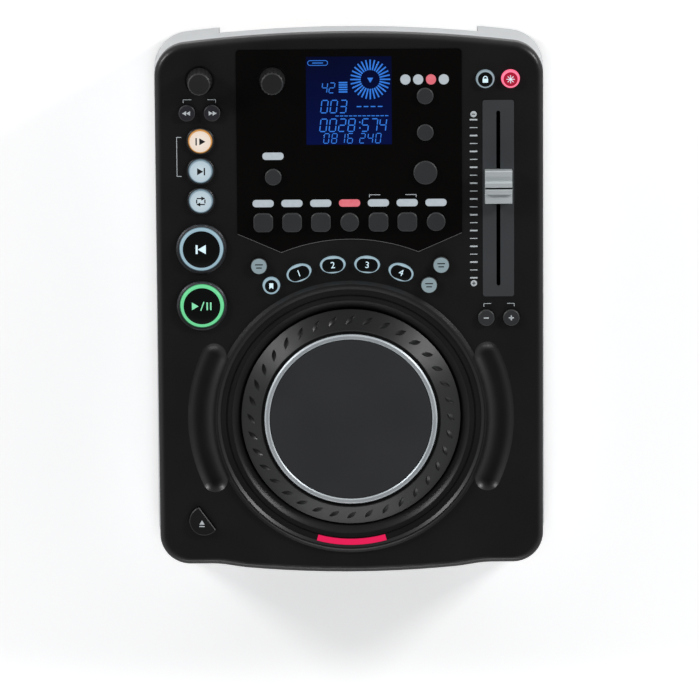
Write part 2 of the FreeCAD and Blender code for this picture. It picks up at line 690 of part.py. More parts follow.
def board_posts():
    """The moulded posts behind the cover that carry the control board."""
    row_rear = BOARD_REAR_V - POST_RADIUS - 1
    row_front = BOARD_FRONT_V + POST_RADIUS + 1
    strip_u = -BOARD_HALF_WIDTH + 2 * POST_RADIUS
    places = [(side * BOARD_POST_U, row) for side in (-1, 1) for row in (row_rear, row_front)]
    return places + [(strip_u, STRIP_POST_V)]


def make_overlay():
    top = OVERLAY_THICKNESS - OVERLAY_RECESS
    sheet = overlay_prism(0, -OVERLAY_RECESS, top)
    removed = [box(-DISPLAY_WIDTH / 2, DISPLAY_WIDTH / 2, DISPLAY_V - DISPLAY_LENGTH / 2,
                   DISPLAY_V + DISPLAY_LENGTH / 2, -3, 3)]
    for button in BUTTONS.values():
        if on_overlay(button):
            removed.append(form_prism(button, BUTTON_GAP, -3, 3))
    u, v = KNOBS["folder_knob"]
    removed.append(post(u, v, KNOB_RADIUS + KNOB_WELL_GAP, -3, 3))
    removed += [light.copy() for light in overlay_lights(FIT_GAP)]
    return sheet.cut(removed)


def overlay_lights(grow):
    """The lit windows in the overlay: four range lamps and a pill behind each legend."""
    low = -OVERLAY_RECESS
    high = OVERLAY_THICKNESS - OVERLAY_RECESS + LIGHT_RISE
    lights = []
    for number in range(LAMP_COUNT):
        lights.append(post(LAMP_FIRST_U + number * LAMP_PITCH, LAMP_V, LAMP_RADIUS + grow, low, high))
    pills = [(BUTTONS[effect + "_button"][0], PILL_V) for effect in EFFECTS]
    pills.append((FOLDER_U, SCRATCH_PILL_V))
    for u, v in pills:
        lights.append(rounded_box(u, v, PILL_LENGTH + 2 * grow, PILL_WIDTH + 2 * grow,
                                  PILL_WIDTH / 2 + grow - 0.05, low, high))
    return lights


def light_bar(grow, w0, w1):
    """The lit bar in front of the jog wheel, an arc in the rim's inner step."""
    spread = LIGHT_BAR_HALF_ANGLE + degrees(grow / LIGHT_BAR_INNER)
    return ring_sector(LIGHT_BAR_INNER - grow, LIGHT_BAR_OUTER + grow, w0, w1, spread, -90)


def make_light_guides():
    bar = light_bar(0, -COVER_THICKNESS, RIM_CREST_RISE * 0.45 + LIGHT_RISE)
    return Part.makeCompound([on_panel(s) for s in overlay_lights(0) + [bar]])


def make_display():
    """The display: its glass in the overlay's window, and its body against the board."""
    border = DISPLAY_BODY_BORDER
    top = OVERLAY_THICKNESS - OVERLAY_RECESS - 0.2
    glass = box(-DISPLAY_WIDTH / 2 + FIT_GAP, DISPLAY_WIDTH / 2 - FIT_GAP,
                DISPLAY_V - DISPLAY_LENGTH / 2 + FIT_GAP, DISPLAY_V + DISPLAY_LENGTH / 2 - FIT_GAP,
                -COVER_THICKNESS - FIT_GAP, top)
    body = box(-DISPLAY_WIDTH / 2 - border, DISPLAY_WIDTH / 2 + border,
               DISPLAY_V - DISPLAY_LENGTH / 2 - border, DISPLAY_V + DISPLAY_LENGTH / 2 + border,
               -BOARD_LEVEL, -COVER_THICKNESS - FIT_GAP)
    return on_panel(join(glass, body))


def collar(u, v, inner, outer, rise):
    """A domed metal collar that frames a button."""
    width = outer - inner
    ring = turned([(inner, 0), (outer, 0), (outer - width * 0.15, rise * 0.6),
                   (outer - width * 0.5, rise), (inner + width * 0.1, rise * 0.9), (inner, rise * 0.7)])
    ring.translate(V(u, v, 0))
    return ring


def make_collars():
    rings = []
    for name in ("loop_in_button", "loop_out_button", "reloop_button"):
        u, v = BUTTONS[name][:2]
        rings.append(collar(u, v, LOOP_RADIUS + BUTTON_GAP, LOOP_COLLAR_RADIUS, LOOP_COLLAR_RISE))
    for name in ("cue_button", "play_pause_button"):
        u, v = BUTTONS[name][:2]
        rings.append(collar(u, v, PLAY_RADIUS + BUTTON_GAP, PLAY_COLLAR_RADIUS, PLAY_COLLAR_RISE))
    return Part.makeCompound([on_panel(ring) for ring in rings])


# Pitch fader

def fader_plate_blank(grow, w0, w1):
    return rounded_box(FADER_U, FADER_V, FADER_PLATE_WIDTH + 2 * grow, FADER_PLATE_LENGTH + 2 * grow,
                       1.5 + grow, w0, w1)


def make_fader_plate():
    plate = fader_plate_blank(0, -FADER_PLATE_THICKNESS, 0.2)
    slot = rounded_box(FADER_U, FADER_V, FADER_SLOT_WIDTH, FADER_SLOT_LENGTH,
                       FADER_SLOT_WIDTH / 2 - 0.05, -3, 3)
    return on_panel(plate.cut(slot))


def make_fader_cap():
    """The fader's cap: a waisted grip with an indicator groove, on the lever that goes down
    through the slot to the wiper carriage."""
    middle = FADER_V + FADER_REST
    foot = 0.2 + SEAT_GAP
    crown = foot + FADER_CAP_HEIGHT
    half = FADER_CAP_LENGTH / 2
    waist = crown - FADER_CAP_HEIGHT * 0.42
    profile = [
        (-half, foot), (half, foot), (half, crown - 2.2), (half - 1.2, crown - 1.0),
        (half - 2.6, crown - 1.0), (half * 0.34, waist), (0.9, waist), (0.5, waist - 0.8),
        (-0.5, waist - 0.8), (-0.9, waist), (-half * 0.34, waist), (-half + 2.6, crown - 1.0),
        (-half + 1.2, crown - 1.0), (-half, crown - 2.2),
    ]
    left = FADER_U - FADER_CAP_WIDTH / 2
    corners = [V(left, middle + along, up) for along, up in profile]
    grip = Part.Face(Part.makePolygon(corners + corners[:1])).extrude(V(FADER_CAP_WIDTH, 0, 0))
    lever = box(FADER_U - FADER_LEVER_THICKNESS / 2, FADER_U + FADER_LEVER_THICKNESS / 2,
                middle - FADER_LEVER_LENGTH / 2, middle + FADER_LEVER_LENGTH / 2, track_floor() + 2.0, foot)
    wide = TRACK_WIDTH / 2 - TRACK_WALL - SEAT_GAP
    carriage = box(FADER_U - wide, FADER_U + wide, middle - FADER_LEVER_LENGTH / 2 - 2,
                   middle + FADER_LEVER_LENGTH / 2 + 2, track_floor() + SEAT_GAP, track_floor() + 3.0)
    return on_panel(join(grip, lever, carriage))


def track_floor():
    return -BOARD_LEVEL + TRACK_WALL


def make_slide_potentiometer():
    """The fader's track: a folded metal channel, open at the top along the lever's path."""
    top = -COVER_THICKNESS - SEAT_GAP
    shell = box(FADER_U - TRACK_WIDTH / 2, FADER_U + TRACK_WIDTH / 2,
                FADER_V - TRACK_LENGTH / 2, FADER_V + TRACK_LENGTH / 2, -BOARD_LEVEL, top)
    inside = box(FADER_U - TRACK_WIDTH / 2 + TRACK_WALL, FADER_U + TRACK_WIDTH / 2 - TRACK_WALL,
                 FADER_V - TRACK_LENGTH / 2 + TRACK_WALL, FADER_V + TRACK_LENGTH / 2 - TRACK_WALL,
                 track_floor(), top - TRACK_WALL)
    path = box(FADER_U - FADER_SLOT_WIDTH / 2, FADER_U + FADER_SLOT_WIDTH / 2,
               FADER_V - FADER_SLOT_LENGTH / 2, FADER_V + FADER_SLOT_LENGTH / 2, top - 2 * TRACK_WALL, top + 1)
    return on_panel(shell.cut([inside, path]))


# Jog wheel

def grip_height(radius):
    """The height of the wheel's conical grip at a radius."""
    return -WHEEL_DROP + GRIP_RISE * (WHEEL_RADIUS - radius) / (WHEEL_RADIUS - GRIP_INNER_RADIUS)


def wheel_floor():
    """The height of the seat for the trim ring and the plate, a little under the grip."""
    return -WHEEL_DROP + GRIP_RISE - 1.0


def hub_foot():
    return -WELL_DEPTH + SPINDLE_FLANGE + 2 * SEAT_GAP


def dimple_cutters():
    """The leaf-shaped finger dimples of the grip: each is the mark of a double-cone cutter
    sunk in the cone, turned from the radial direction, and repeated round the wheel."""
    lean = atan2(GRIP_RISE, WHEEL_RADIUS - GRIP_INNER_RADIUS)
    turn = radians(DIMPLE_TURN)
    cutter_radius = DIMPLE_LENGTH ** 2 / (8 * DIMPLE_DEPTH) + DIMPLE_DEPTH / 2
    cutter_height = DIMPLE_WIDTH / 2 * cutter_radius / DIMPLE_DEPTH
    downhill = V(cos(lean), 0, -sin(lean))
    outward = V(sin(lean), 0, cos(lean))
    axis = downhill * sin(turn) + V(0, 1, 0) * cos(turn)
    place = V(DIMPLE_RADIUS, 0, grip_height(DIMPLE_RADIUS))
    centre = place + outward * (cutter_radius - DIMPLE_DEPTH)
    cutter = Part.makeCone(cutter_radius, 0, cutter_height, centre, axis)
    cutter = cutter.fuse(Part.makeCone(cutter_radius, 0, cutter_height, centre, axis * -1))
    ball = Part.makeSphere(DIMPLE_LENGTH * 0.6, place)
    cutter = cutter.common(ball)
    cutters = []
    for number in range(DIMPLE_COUNT):
        copy = cutter.copy()
        copy.rotate(V(0, 0, 0), V(0, 0, 1), 360 * number / DIMPLE_COUNT)
        cutters.append(copy)
    return cutters


def make_jog_ring():
    """The jog wheel's moulding: a dimpled conical grip, a seat for the trim and plate, and
    the hub that turns on the spindle."""
    floor = wheel_floor()
    crest = -WHEEL_DROP + GRIP_RISE
    under = floor - WHEEL_SHELL
    step = hub_foot() + 0.6 + CODE_DISC_THICKNESS
    bore = SPINDLE_RADIUS + RUNNING_GAP
    wheel = turned([
        (bore, hub_foot()),
        (HUB_STEP_RADIUS, hub_foot()),
        (HUB_STEP_RADIUS, step),
        (HUB_RADIUS, step),
        (HUB_RADIUS, under),
        (GRIP_INNER_RADIUS - 1, under),
        (WHEEL_RADIUS - WHEEL_SHELL, -WHEEL_DROP - 1.4),
        (WHEEL_RADIUS, -WHEEL_DROP - 1.4),
        (WHEEL_RADIUS, -WHEEL_DROP),
        (GRIP_INNER_RADIUS, crest),
        (GRIP_INNER_RADIUS - WHEEL_LIP, crest + WHEEL_LIP),
        (GRIP_INNER_RADIUS - 2 * WHEEL_LIP, crest + WHEEL_LIP),
        (GRIP_INNER_RADIUS - 2.2 * WHEEL_LIP, floor),
        (bore, floor),
    ])
    wheel = wheel.cut(dimple_cutters())
    wheel.translate(V(0, JOG_V, 0))
    return on_panel(wheel)


def make_jog_trim():
    """The bright trim ring round the plate, with a sloping inner and outer edge."""
    low = wheel_floor()
    high = low + TRIM_HEIGHT
    ring = turned([(TRIM_INNER_RADIUS, low), (TRIM_OUTER_RADIUS, low), (TRIM_OUTER_RADIUS, high - 0.8),
                   (TRIM_OUTER_RADIUS - 0.8, high), (TRIM_INNER_RADIUS + 0.6, high),
                   (TRIM_INNER_RADIUS, high - 0.6)])
    ring.translate(V(0, JOG_V, 0))
    return on_panel(ring)


def make_jog_plate():
    """The touch plate: a shallow dome inside the trim ring."""
    low = wheel_floor()
    edge = TRIM_INNER_RADIUS - FIT_GAP
    high = low + PLATE_RISE
    sphere_radius = (edge ** 2 + PLATE_DOME ** 2) / (2 * PLATE_DOME)
    ball = Part.makeSphere(sphere_radius, V(0, JOG_V, high + PLATE_DOME - sphere_radius))
    blank = turned([(0, low), (edge, low), (edge, high - 0.6), (edge - 0.6, high + 0.1),
                    (edge - 0.6, high + 1), (0, high + 1)])
    blank.translate(V(0, JOG_V, 0))
    return on_panel(blank.common(ball))


def make_encoder_disc():
    low = hub_foot() + 0.6
    return on_panel(tube(0, JOG_V, HUB_STEP_RADIUS, CODE_DISC_RADIUS, low, low + CODE_DISC_THICKNESS))


def make_jog_spindle():
    """The fixed steel spindle, with a flange that seats on the floor of the well."""
    flange = post(0, JOG_V, SPINDLE_FLANGE_RADIUS, -WELL_DEPTH, -WELL_DEPTH + SPINDLE_FLANGE)
    stem = post(0, JOG_V, SPINDLE_RADIUS, -WELL_DEPTH, wheel_floor() - 1)
    return on_panel(join(flange, stem))


# Boards

def make_control_board():
    """The board behind the panel, with a switch under each button and the two encoders."""
    low, high = -BOARD_LEVEL - BOARD_THICKNESS, -BOARD_LEVEL
    board = box(-BOARD_HALF_WIDTH, BOARD_HALF_WIDTH, BOARD_FRONT_V, BOARD_REAR_V, low, high)
    strip = box(-BOARD_HALF_WIDTH, -BOARD_HALF_WIDTH + BOARD_STRIP_WIDTH, BOARD_STRIP_V, BOARD_FRONT_V + 1,
                low, high)
    board = board.fuse(strip)
    board = board.cut(post(0, JOG_V, WELL_RADIUS + WELL_FLOOR + 1, low - 1, high + 1))
    half = SWITCH_SIZE / 2
    added = [box(b[0] - half, b[0] + half, b[1] - half, b[1] + half, high, switch_top())
             for b in BUTTONS.values()]
    added += [encoder(u, v) for u, v in KNOBS.values()]
    board = board.fuse(added)
    wells = [post(u, v, KNOB_SHAFT_RADIUS + RUNNING_GAP, high + ENCODER_HEIGHT / 2 - SEAT_GAP, 0)
             for u, v in KNOBS.values()]
    return on_panel(board.cut(wells).removeSplitter())


def make_main_board():
    rear = MAIN_BOARD_FRONT_Y + MAIN_BOARD_LENGTH
    level = MAIN_BOARD_LEVEL
    board = box(-MAIN_BOARD_WIDTH / 2, MAIN_BOARD_WIDTH / 2, MAIN_BOARD_FRONT_Y, rear,
                level, level + BOARD_THICKNESS)
    face = level + BOARD_THICKNESS
    chip = box(-CHIP_SIZE / 2, CHIP_SIZE / 2, MAIN_BOARD_FRONT_Y + CHIP_INSET,
               MAIN_BOARD_FRONT_Y + CHIP_INSET + CHIP_SIZE, face, face + CHIP_HEIGHT)
    cans = [post(share * MAIN_BOARD_WIDTH, rear - CAPACITOR_INSET, CAPACITOR_RADIUS, face, face + CAPACITOR_HEIGHT)
            for share in (-0.375, -0.2875, 0.325)]
    return board.fuse([chip] + cans)


# Lower case

def recess_box(grow):
    rear = CASE_DEPTH / 2
    return box(-RECESS_WIDTH / 2 - grow, RECESS_WIDTH / 2 + grow, rear - RECESS_DEPTH, rear + CASE_DEPTH,
               -1, RECESS_TOP + grow)


def make_housing():
    """The lower case: four flared walls, a recess at the rear for the connectors, an
    opening for the slot bezel and a screw boss in each corner."""
    outer = flared_case(0, BASE_LEVEL, 0)
    inner = flared_case(HOUSING_WALL, BASE_LEVEL - 0.01, 0.01)
    walls = outer.cut(inner)
    surround = outer.common(recess_box(HOUSING_WALL))
    bosses = [outer.common(post(x, y, BOSS_RADIUS, BASE_LEVEL, PANEL_HEIGHT + CASE_DEPTH))
              for x, y in corner_posts()]
    body = walls.fuse([surround] + bosses)
    removed = [recess_box(0)]
    removed.append(bezel_block(FIT_GAP).common(case_prism(HOUSING_FLARE + 5, 0, PANEL_HEIGHT)))
    for x, y in corner_posts():
        removed.append(post(x, y, SCREW_RADIUS + FIT_GAP, BASE_LEVEL - 1, FOOT_HEIGHT + SCREW_LENGTH + 1))
    return body.cut(removed).removeSplitter()


def bezel_block(grow):
    half = BEZEL_WIDTH / 2 + grow
    low = SLOT_LEVEL - BEZEL_HEIGHT / 2 - grow
    high = SLOT_LEVEL + BEZEL_HEIGHT / 2 + grow
    return box(-half, half, -CASE_DEPTH, -CASE_DEPTH / 2 + 15, low, high)


def make_slot_bezel():
    """The curved bezel of the disc slot; its lips slope in towards the slot."""
    front = case_prism(HOUSING_FLARE + BEZEL_PROUD, 0, PANEL_HEIGHT)
    back = case_prism(-HOUSING_WALL, -1, PANEL_HEIGHT + 1)
    plate = bezel_block(0).common(front).cut(back)
    half = SLOT_HEIGHT / 2
    mouth = -CASE_DEPTH / 2 - HOUSING_FLARE - BEZEL_PROUD - 0.5
    lips = [V(0, mouth, SLOT_LEVEL - half - 2.6), V(0, mouth, SLOT_LEVEL + half + 2.6),
            V(0, mouth + 6, SLOT_LEVEL + half), V(0, mouth + 40, SLOT_LEVEL + half),
            V(0, mouth + 40, SLOT_LEVEL - half), V(0, mouth + 6, SLOT_LEVEL - half)]
    slot = Part.Face(Part.makePolygon(lips + lips[:1])).extrude(V(SLOT_WIDTH, 0, 0))
    slot.translate(V(-SLOT_WIDTH / 2, 0, 0))
    return plate.cut(slot)


def make_bottom_plate():
    """The sheet that closes the case from below, with the posts of the main board."""
    plate = case_prism(HOUSING_FLARE - PLATE_INSET, FOOT_HEIGHT, BASE_LEVEL)
    plate = plate.cut(recess_box(0))
    plate = plate.cut([post(x, y, SCREW_RADIUS + FIT_GAP, 0, BASE_LEVEL + 1) for x, y in corner_posts()])
    rear = MAIN_BOARD_FRONT_Y + MAIN_BOARD_LENGTH
    side = MAIN_BOARD_WIDTH / 2 - POST_RADIUS - 1
    posts = [post(x, y, POST_RADIUS, BASE_LEVEL - 0.5, MAIN_BOARD_LEVEL)
             for x in (-side, side) for y in (MAIN_BOARD_FRONT_Y + POST_RADIUS + 1, rear - POST_RADIUS - 1)]
    legs = [box(x - 4, x + 4, y - 4, y + 4, BASE_LEVEL - 0.5, DRIVE_BASE)
            for x in (-DRIVE_WIDTH / 2 + 5, DRIVE_WIDTH / 2 - 5) for y in (drive_front() + 8, drive_rear() - 8)]
    return plate.fuse(posts + legs).removeSplitter()


def make_feet():
    """Four rubber feet, chamfered where they meet the table."""
    feet = []
    across = CASE_WIDTH / 2 - FOOT_INSET * 0.72
    along = CASE_DEPTH / 2 - FOOT_INSET
    for x in (-across, across):
        for y in (-along, along):
            foot = turned([(0, 0), (FOOT_RADIUS - 1, 0), (FOOT_RADIUS, 1), (FOOT_RADIUS, FOOT_HEIGHT),
                           (0, FOOT_HEIGHT)])
            foot.translate(V(x, y, 0))
            feet.append(foot)
    return Part.makeCompound(feet)


def make_screws():
    screws = []
    for x, y in corner_posts():
        head = post(x, y, SCREW_HEAD_RADIUS, FOOT_HEIGHT - SCREW_HEAD_HEIGHT, FOOT_HEIGHT)
        shank = post(x, y, SCREW_RADIUS, FOOT_HEIGHT - 0.5, FOOT_HEIGHT + SCREW_LENGTH)
        screws.append(join(head, shank))
    return Part.makeCompound(screws)


# Disc drive

def drive_front():
    return -CASE_DEPTH / 2 + FRONT_SETBACK + HOUSING_WALL + 1.5


def drive_rear():
    return drive_front() + DRIVE_LENGTH


def disc_centre():
    """Where the middle of a loaded disc lies, to the rear of the slot."""
    return drive_front() + DISC_RADIUS + 9.0


def make_drive_chassis():
    """The drive's folded sheet chassis: a floor, two side walls, a bridge over the disc's
    middle that carries the clamp, and two guide rods for the laser sled."""
    half = DRIVE_WIDTH / 2
    front, rear = drive_front(), drive_rear()
    ceiling = SLOT_LEVEL + SLOT_HEIGHT / 2 + PATH_MARGIN
    floor = box(-half, half, front, rear, DRIVE_BASE, DRIVE_BASE + DRIVE_SHEET)
    walls = [box(side - DRIVE_SHEET / 2, side + DRIVE_SHEET / 2, front, rear, DRIVE_BASE, ceiling + DRIVE_SHEET)
             for side in (-half + DRIVE_SHEET / 2, half - DRIVE_SHEET / 2)]
    middle = disc_centre()
    bridge = box(-half, half, middle - 14, middle + 14, ceiling, ceiling + DRIVE_SHEET)
    clamp = post(0, middle, 13, ceiling, ceiling + DRIVE_SHEET + 2)
    rods = []
    ends = []
    for side in (-RAIL_SPACING / 2, RAIL_SPACING / 2):
        start = middle + SLED_START - SLED_LENGTH / 2 - 4
        finish = start + SLED_LENGTH + SLED_TRAVEL + 8
        rods.append(Part.makeCylinder(RAIL_RADIUS, finish - start, V(side, start, rod_level()), V(0, 1, 0)))
        for y in (start, finish - 3):
            ends.append(box(side - 2.5, side + 2.5, y, y + 3, DRIVE_BASE, rod_level() + RAIL_RADIUS))
    return floor.fuse(walls + [bridge, clamp] + rods + ends)


def rod_level():
    return DRIVE_BASE + DRIVE_SHEET + 2.5 + RAIL_RADIUS


def make_laser_sled():
    """The laser sled, bored for its two guide rods, with the lens on top."""
    middle = disc_centre() + SLED_START
    half = SLED_LENGTH / 2
    low = DRIVE_BASE + DRIVE_SHEET + 1.0
    top = low + 2 * (rod_level() - low)
    body = box(-SLED_WIDTH / 2, SLED_WIDTH / 2, middle - half, middle + half, low, top)
    bores = [Part.makeCylinder(RAIL_RADIUS + RUNNING_GAP, SLED_LENGTH + 2,
                               V(side, middle - half - 1, rod_level()), V(0, 1, 0))
             for side in (-RAIL_SPACING / 2, RAIL_SPACING / 2)]
    lens = post(0, middle - half + 6, 3.5, top - 0.5, top + 1.2)
    return body.cut(bores).fuse(lens)


def make_disc_spindle():
    """The turntable hub that carries the disc, with its centring cone and its motor."""
    hub_top = SLOT_LEVEL - SLOT_HEIGHT / 2 - PATH_MARGIN
    low = DRIVE_BASE + DRIVE_SHEET + SEAT_GAP
    hub = turned([(0, low), (HUB_DISC_RADIUS - 2, low), (HUB_DISC_RADIUS - 2, hub_top - 4),
                  (HUB_DISC_RADIUS + 3, hub_top - 4), (HUB_DISC_RADIUS + 3, hub_top - 2),
                  (HUB_DISC_RADIUS, hub_top - 2), (HUB_DISC_RADIUS - 1.2, hub_top), (0, hub_top)])
    hub.translate(V(0, disc_centre(), 0))
    return hub


# Rear connectors

def rear_plane():
    """The rear panel's outer face, at the bottom of the recess."""
    return CASE_DEPTH / 2 - RECESS_DEPTH


def inlet_block(grow, y0, y1):
    return box(INLET_X - INLET_WIDTH / 2 - grow, INLET_X + INLET_WIDTH / 2 + grow, y0, y1,
               CONNECTOR_LEVEL - INLET_HEIGHT / 2 - grow, CONNECTOR_LEVEL + INLET_HEIGHT / 2 + grow)


def jack_places():
    return [JACK_FIRST_X - number * JACK_PITCH for number in range(3)]


def make_rear_panel():
    plane = rear_plane()
    side = RECESS_WIDTH / 2 + HOUSING_WALL
    panel = box(-side, side, plane - REAR_PANEL_THICKNESS, plane, BASE_LEVEL, RECESS_TOP + HOUSING_WALL)
    removed = [inlet_block(FIT_GAP, plane - 5, plane + 5)]
    for x in jack_places():
        removed.append(Part.makeCylinder(JACK_RADIUS + FIT_GAP, 10, V(x, plane - 5, CONNECTOR_LEVEL), V(0, 1, 0)))
    removed.append(Part.makeCylinder(MINI_JACK_RADIUS + 1.5, 10, V(MINI_JACK_X, plane - 5, CONNECTOR_LEVEL),
                                     V(0, 1, 0)))
    return panel.cut(removed)


def make_jacks():
    """Three phono jacks and one miniature jack, each with its body behind the panel."""
    plane = rear_plane()
    inner = plane - REAR_PANEL_THICKNESS
    jacks = []
    for x in jack_places():
        behind = JACK_BODY_DEPTH - 2
        shell = Part.makeCylinder(JACK_RADIUS, behind + REAR_PANEL_THICKNESS + JACK_LENGTH,
                                  V(x, inner - behind, CONNECTOR_LEVEL), V(0, 1, 0))
        groove = Part.makeCylinder(JACK_RADIUS + 1, JACK_GROOVE, V(x, plane, CONNECTOR_LEVEL), V(0, 1, 0))
        groove = groove.cut(Part.makeCylinder(JACK_RADIUS - JACK_GROOVE_DEPTH, JACK_GROOVE,
                                              V(x, plane, CONNECTOR_LEVEL), V(0, 1, 0)))
        body = box(x - JACK_BODY_WIDTH / 2, x + JACK_BODY_WIDTH / 2, inner - JACK_BODY_DEPTH, inner,
                   CONNECTOR_LEVEL - JACK_BODY_HEIGHT / 2, CONNECTOR_LEVEL + JACK_BODY_HEIGHT / 2)
        bore = Part.makeCylinder(JACK_BORE_RADIUS, JACK_BORE_DEPTH + 1,
                                 V(x, plane + JACK_LENGTH - JACK_BORE_DEPTH, CONNECTOR_LEVEL), V(0, 1, 0))
        jacks.append(join(shell, body).cut([bore, groove]))
    x = MINI_JACK_X
    neck = Part.makeCylinder(MINI_JACK_RADIUS + MINI_JACK_WALL, 8, V(x, plane - 6, CONNECTOR_LEVEL), V(0, 1, 0))
    body = box(x - MINI_BODY_SIZE / 2, x + MINI_BODY_SIZE / 2, inner - MINI_BODY_DEPTH, inner,
               CONNECTOR_LEVEL - MINI_BODY_SIZE / 2, CONNECTOR_LEVEL + MINI_BODY_SIZE / 2)
    bore = Part.makeCylinder(MINI_JACK_RADIUS, MINI_BORE_DEPTH + 3, V(x, plane - MINI_BORE_DEPTH, CONNECTOR_LEVEL),
                             V(0, 1, 0))
    jacks.append(join(neck, body).cut(bore))
    return Part.makeCompound(jacks)


def socket_middle():
    return INLET_X + INLET_WIDTH / 2 - SOCKET_WIDTH / 2 - 3.0


def rocker_middle():
    return INLET_X - INLET_WIDTH / 2 + ROCKER_WIDTH / 2 + 4.0


def make_power_inlet():
    """The mains inlet, in one block with the power switch's frame: a socket with three
    blades, and an opening for the rocker."""
    plane = rear_plane()
    face = plane + 2.0
    block = inlet_block(0, plane - INLET_DEPTH, plane)
    flange = inlet_block(1.5, plane, face)
    body = block.fuse(flange)
    x = socket_middle()
    socket = box(x - SOCKET_WIDTH / 2, x + SOCKET_WIDTH / 2, face - SOCKET_DEPTH, face + 1,
                 CONNECTOR_LEVEL - SOCKET_HEIGHT / 2, CONNECTOR_LEVEL + SOCKET_HEIGHT / 2)
    lower = [e for e in socket.Edges if abs(e.Vertexes[0].Point.z - (CONNECTOR_LEVEL - SOCKET_HEIGHT / 2)) < 0.01
             and abs(abs(e.tangentAt(e.FirstParameter).y) - 1) < 1e-6]
    socket = socket.makeChamfer(4.0, lower)
    seat_x = rocker_middle()
    half_x = ROCKER_WIDTH / 2 + SEAT_GAP
    half_z = ROCKER_HEIGHT / 2 + SEAT_GAP + 0.5
    seat = box(seat_x - half_x, seat_x + half_x, face - 12, face + 1,
               CONNECTOR_LEVEL - half_z, CONNECTOR_LEVEL + half_z)
    body = body.cut([socket, seat])
    blades = []
    for across, up in ((-BLADE_SPACING, -BLADE_HEIGHT / 2), (BLADE_SPACING, -BLADE_HEIGHT / 2),
                       (0, BLADE_HEIGHT / 2)):
        blades.append(box(x + across - BLADE_THICKNESS / 2, x + across + BLADE_THICKNESS / 2,
                          face - SOCKET_DEPTH - 1, face - 2.5,
                          CONNECTOR_LEVEL + up - BLADE_HEIGHT / 2, CONNECTOR_LEVEL + up + BLADE_HEIGHT / 2))
    return body.fuse(blades)


def make_power_rocker():
    """The rocker: two faces that meet in a shallow valley, tipped to one side at rest."""
    face = rear_plane() + 2.0
    half = ROCKER_HEIGHT / 2
    lean = tan(radians(ROCKER_SWING / 2))
    profile = [V(0, -8, -3), V(0, -8, 3), V(0, -3, half), V(0, half * lean, half), V(0, 0, 0),
               V(0, half * lean, -half), V(0, -3, -half)]
    rocker = Part.Face(Part.makePolygon(profile + profile[:1])).extrude(V(ROCKER_WIDTH, 0, 0))
    rocker.translate(V(-ROCKER_WIDTH / 2, 0, 0))
    rocker.rotate(V(0, 0, 0), V(1, 0, 0), -ROCKER_SWING / 2)
    rocker.translate(V(rocker_middle(), face, CONNECTOR_LEVEL))
    return rocker


# Every sub-part

def make_parts():
    parts = {
        "top_cover": make_cover(),
        "control_overlay": on_panel(make_overlay()),
        "display_module": make_display(),
        "light_guides": make_light_guides(),
        "button_collars": make_collars(),
        "fader_plate": make_fader_plate(),
        "fader_cap": make_fader_cap(),
        "slide_potentiometer": make_slide_potentiometer(),
        "jog_ring": make_jog_ring(),
        "jog_trim": make_jog_trim(),
        "jog_plate": make_jog_plate(),
        "encoder_disc": make_encoder_disc(),
        "jog_spindle": make_jog_spindle(),
        "control_board": make_control_board(),
        "main_board": make_main_board(),
        "lower_housing": make_housing(),
        "slot_bezel": make_slot_bezel(),
        "bottom_plate": make_bottom_plate(),
        "rubber_feet": make_feet(),
        "case_screws": make_screws(),
        "drive_chassis": make_drive_chassis(),
        "laser_sled": make_laser_sled(),
        "disc_spindle": make_disc_spindle(),
        "rear_panel": make_rear_panel(),
        "output_jacks": make_jacks(),
        "power_inlet": make_power_inlet(),
        "power_rocker": make_power_rocker(),
    }
    for name, (u, v) in KNOBS.items():
        parts[name] = on_panel(make_knob(u, v))
    for name, button in BUTTONS.items():
        parts[name] = on_panel(make_button(button))
    return parts


def footprint_shift():
    """How far everything moves to the rear so that the origin lies under the middle of the
    whole footprint: the bezel reaches further out than the overhang above the recess."""
    front = CASE_DEPTH / 2 + HOUSING_FLARE + BEZEL_PROUD
    joint = parting_height(CASE_DEPTH / 2)
    rear = CASE_DEPTH / 2 + HOUSING_FLARE * (joint - RECESS_TOP) / (joint - BASE_LEVEL)
    return (front - rear) / 2


os.makedirs("parts", exist_ok=True)
for part_name, part_shape in make_parts().items():
    part_shape.translate(V(0, footprint_shift(), 0))
    part_shape.exportStep("parts/" + part_name + ".step")
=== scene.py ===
import json
import bpy
from math import atan2, cos, pi, radians, sin
from mathutils import Matrix, Vector


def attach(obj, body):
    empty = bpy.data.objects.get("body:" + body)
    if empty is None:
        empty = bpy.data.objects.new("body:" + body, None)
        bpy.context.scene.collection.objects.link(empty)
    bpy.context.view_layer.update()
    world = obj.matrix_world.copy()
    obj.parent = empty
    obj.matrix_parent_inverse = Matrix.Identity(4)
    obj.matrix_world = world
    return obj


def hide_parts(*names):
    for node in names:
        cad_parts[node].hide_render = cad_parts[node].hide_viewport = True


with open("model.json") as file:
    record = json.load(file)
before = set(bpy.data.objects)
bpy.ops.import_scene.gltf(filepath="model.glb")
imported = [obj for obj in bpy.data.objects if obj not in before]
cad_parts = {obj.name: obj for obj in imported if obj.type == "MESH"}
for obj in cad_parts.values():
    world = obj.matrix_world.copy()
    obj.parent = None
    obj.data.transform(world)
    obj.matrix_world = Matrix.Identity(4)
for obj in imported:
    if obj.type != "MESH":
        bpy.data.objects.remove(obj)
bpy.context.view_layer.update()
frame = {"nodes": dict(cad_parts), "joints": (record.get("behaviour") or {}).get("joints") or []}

# The panel's own frame: u to the right, v to the rear and w out of the panel, in millimetres
MM = 0.001
JOG_V = -66.0
jog_joint = next(j for j in frame["joints"] if j["name"] == "jog_spin")
panel_out = Vector(jog_joint["axis"]).normalized()
panel_right = Vector((1, 0, 0))
panel_rear = panel_out.cross(panel_right)
panel_middle = Vector(jog_joint["pos_m"]) - panel_rear * JOG_V * MM
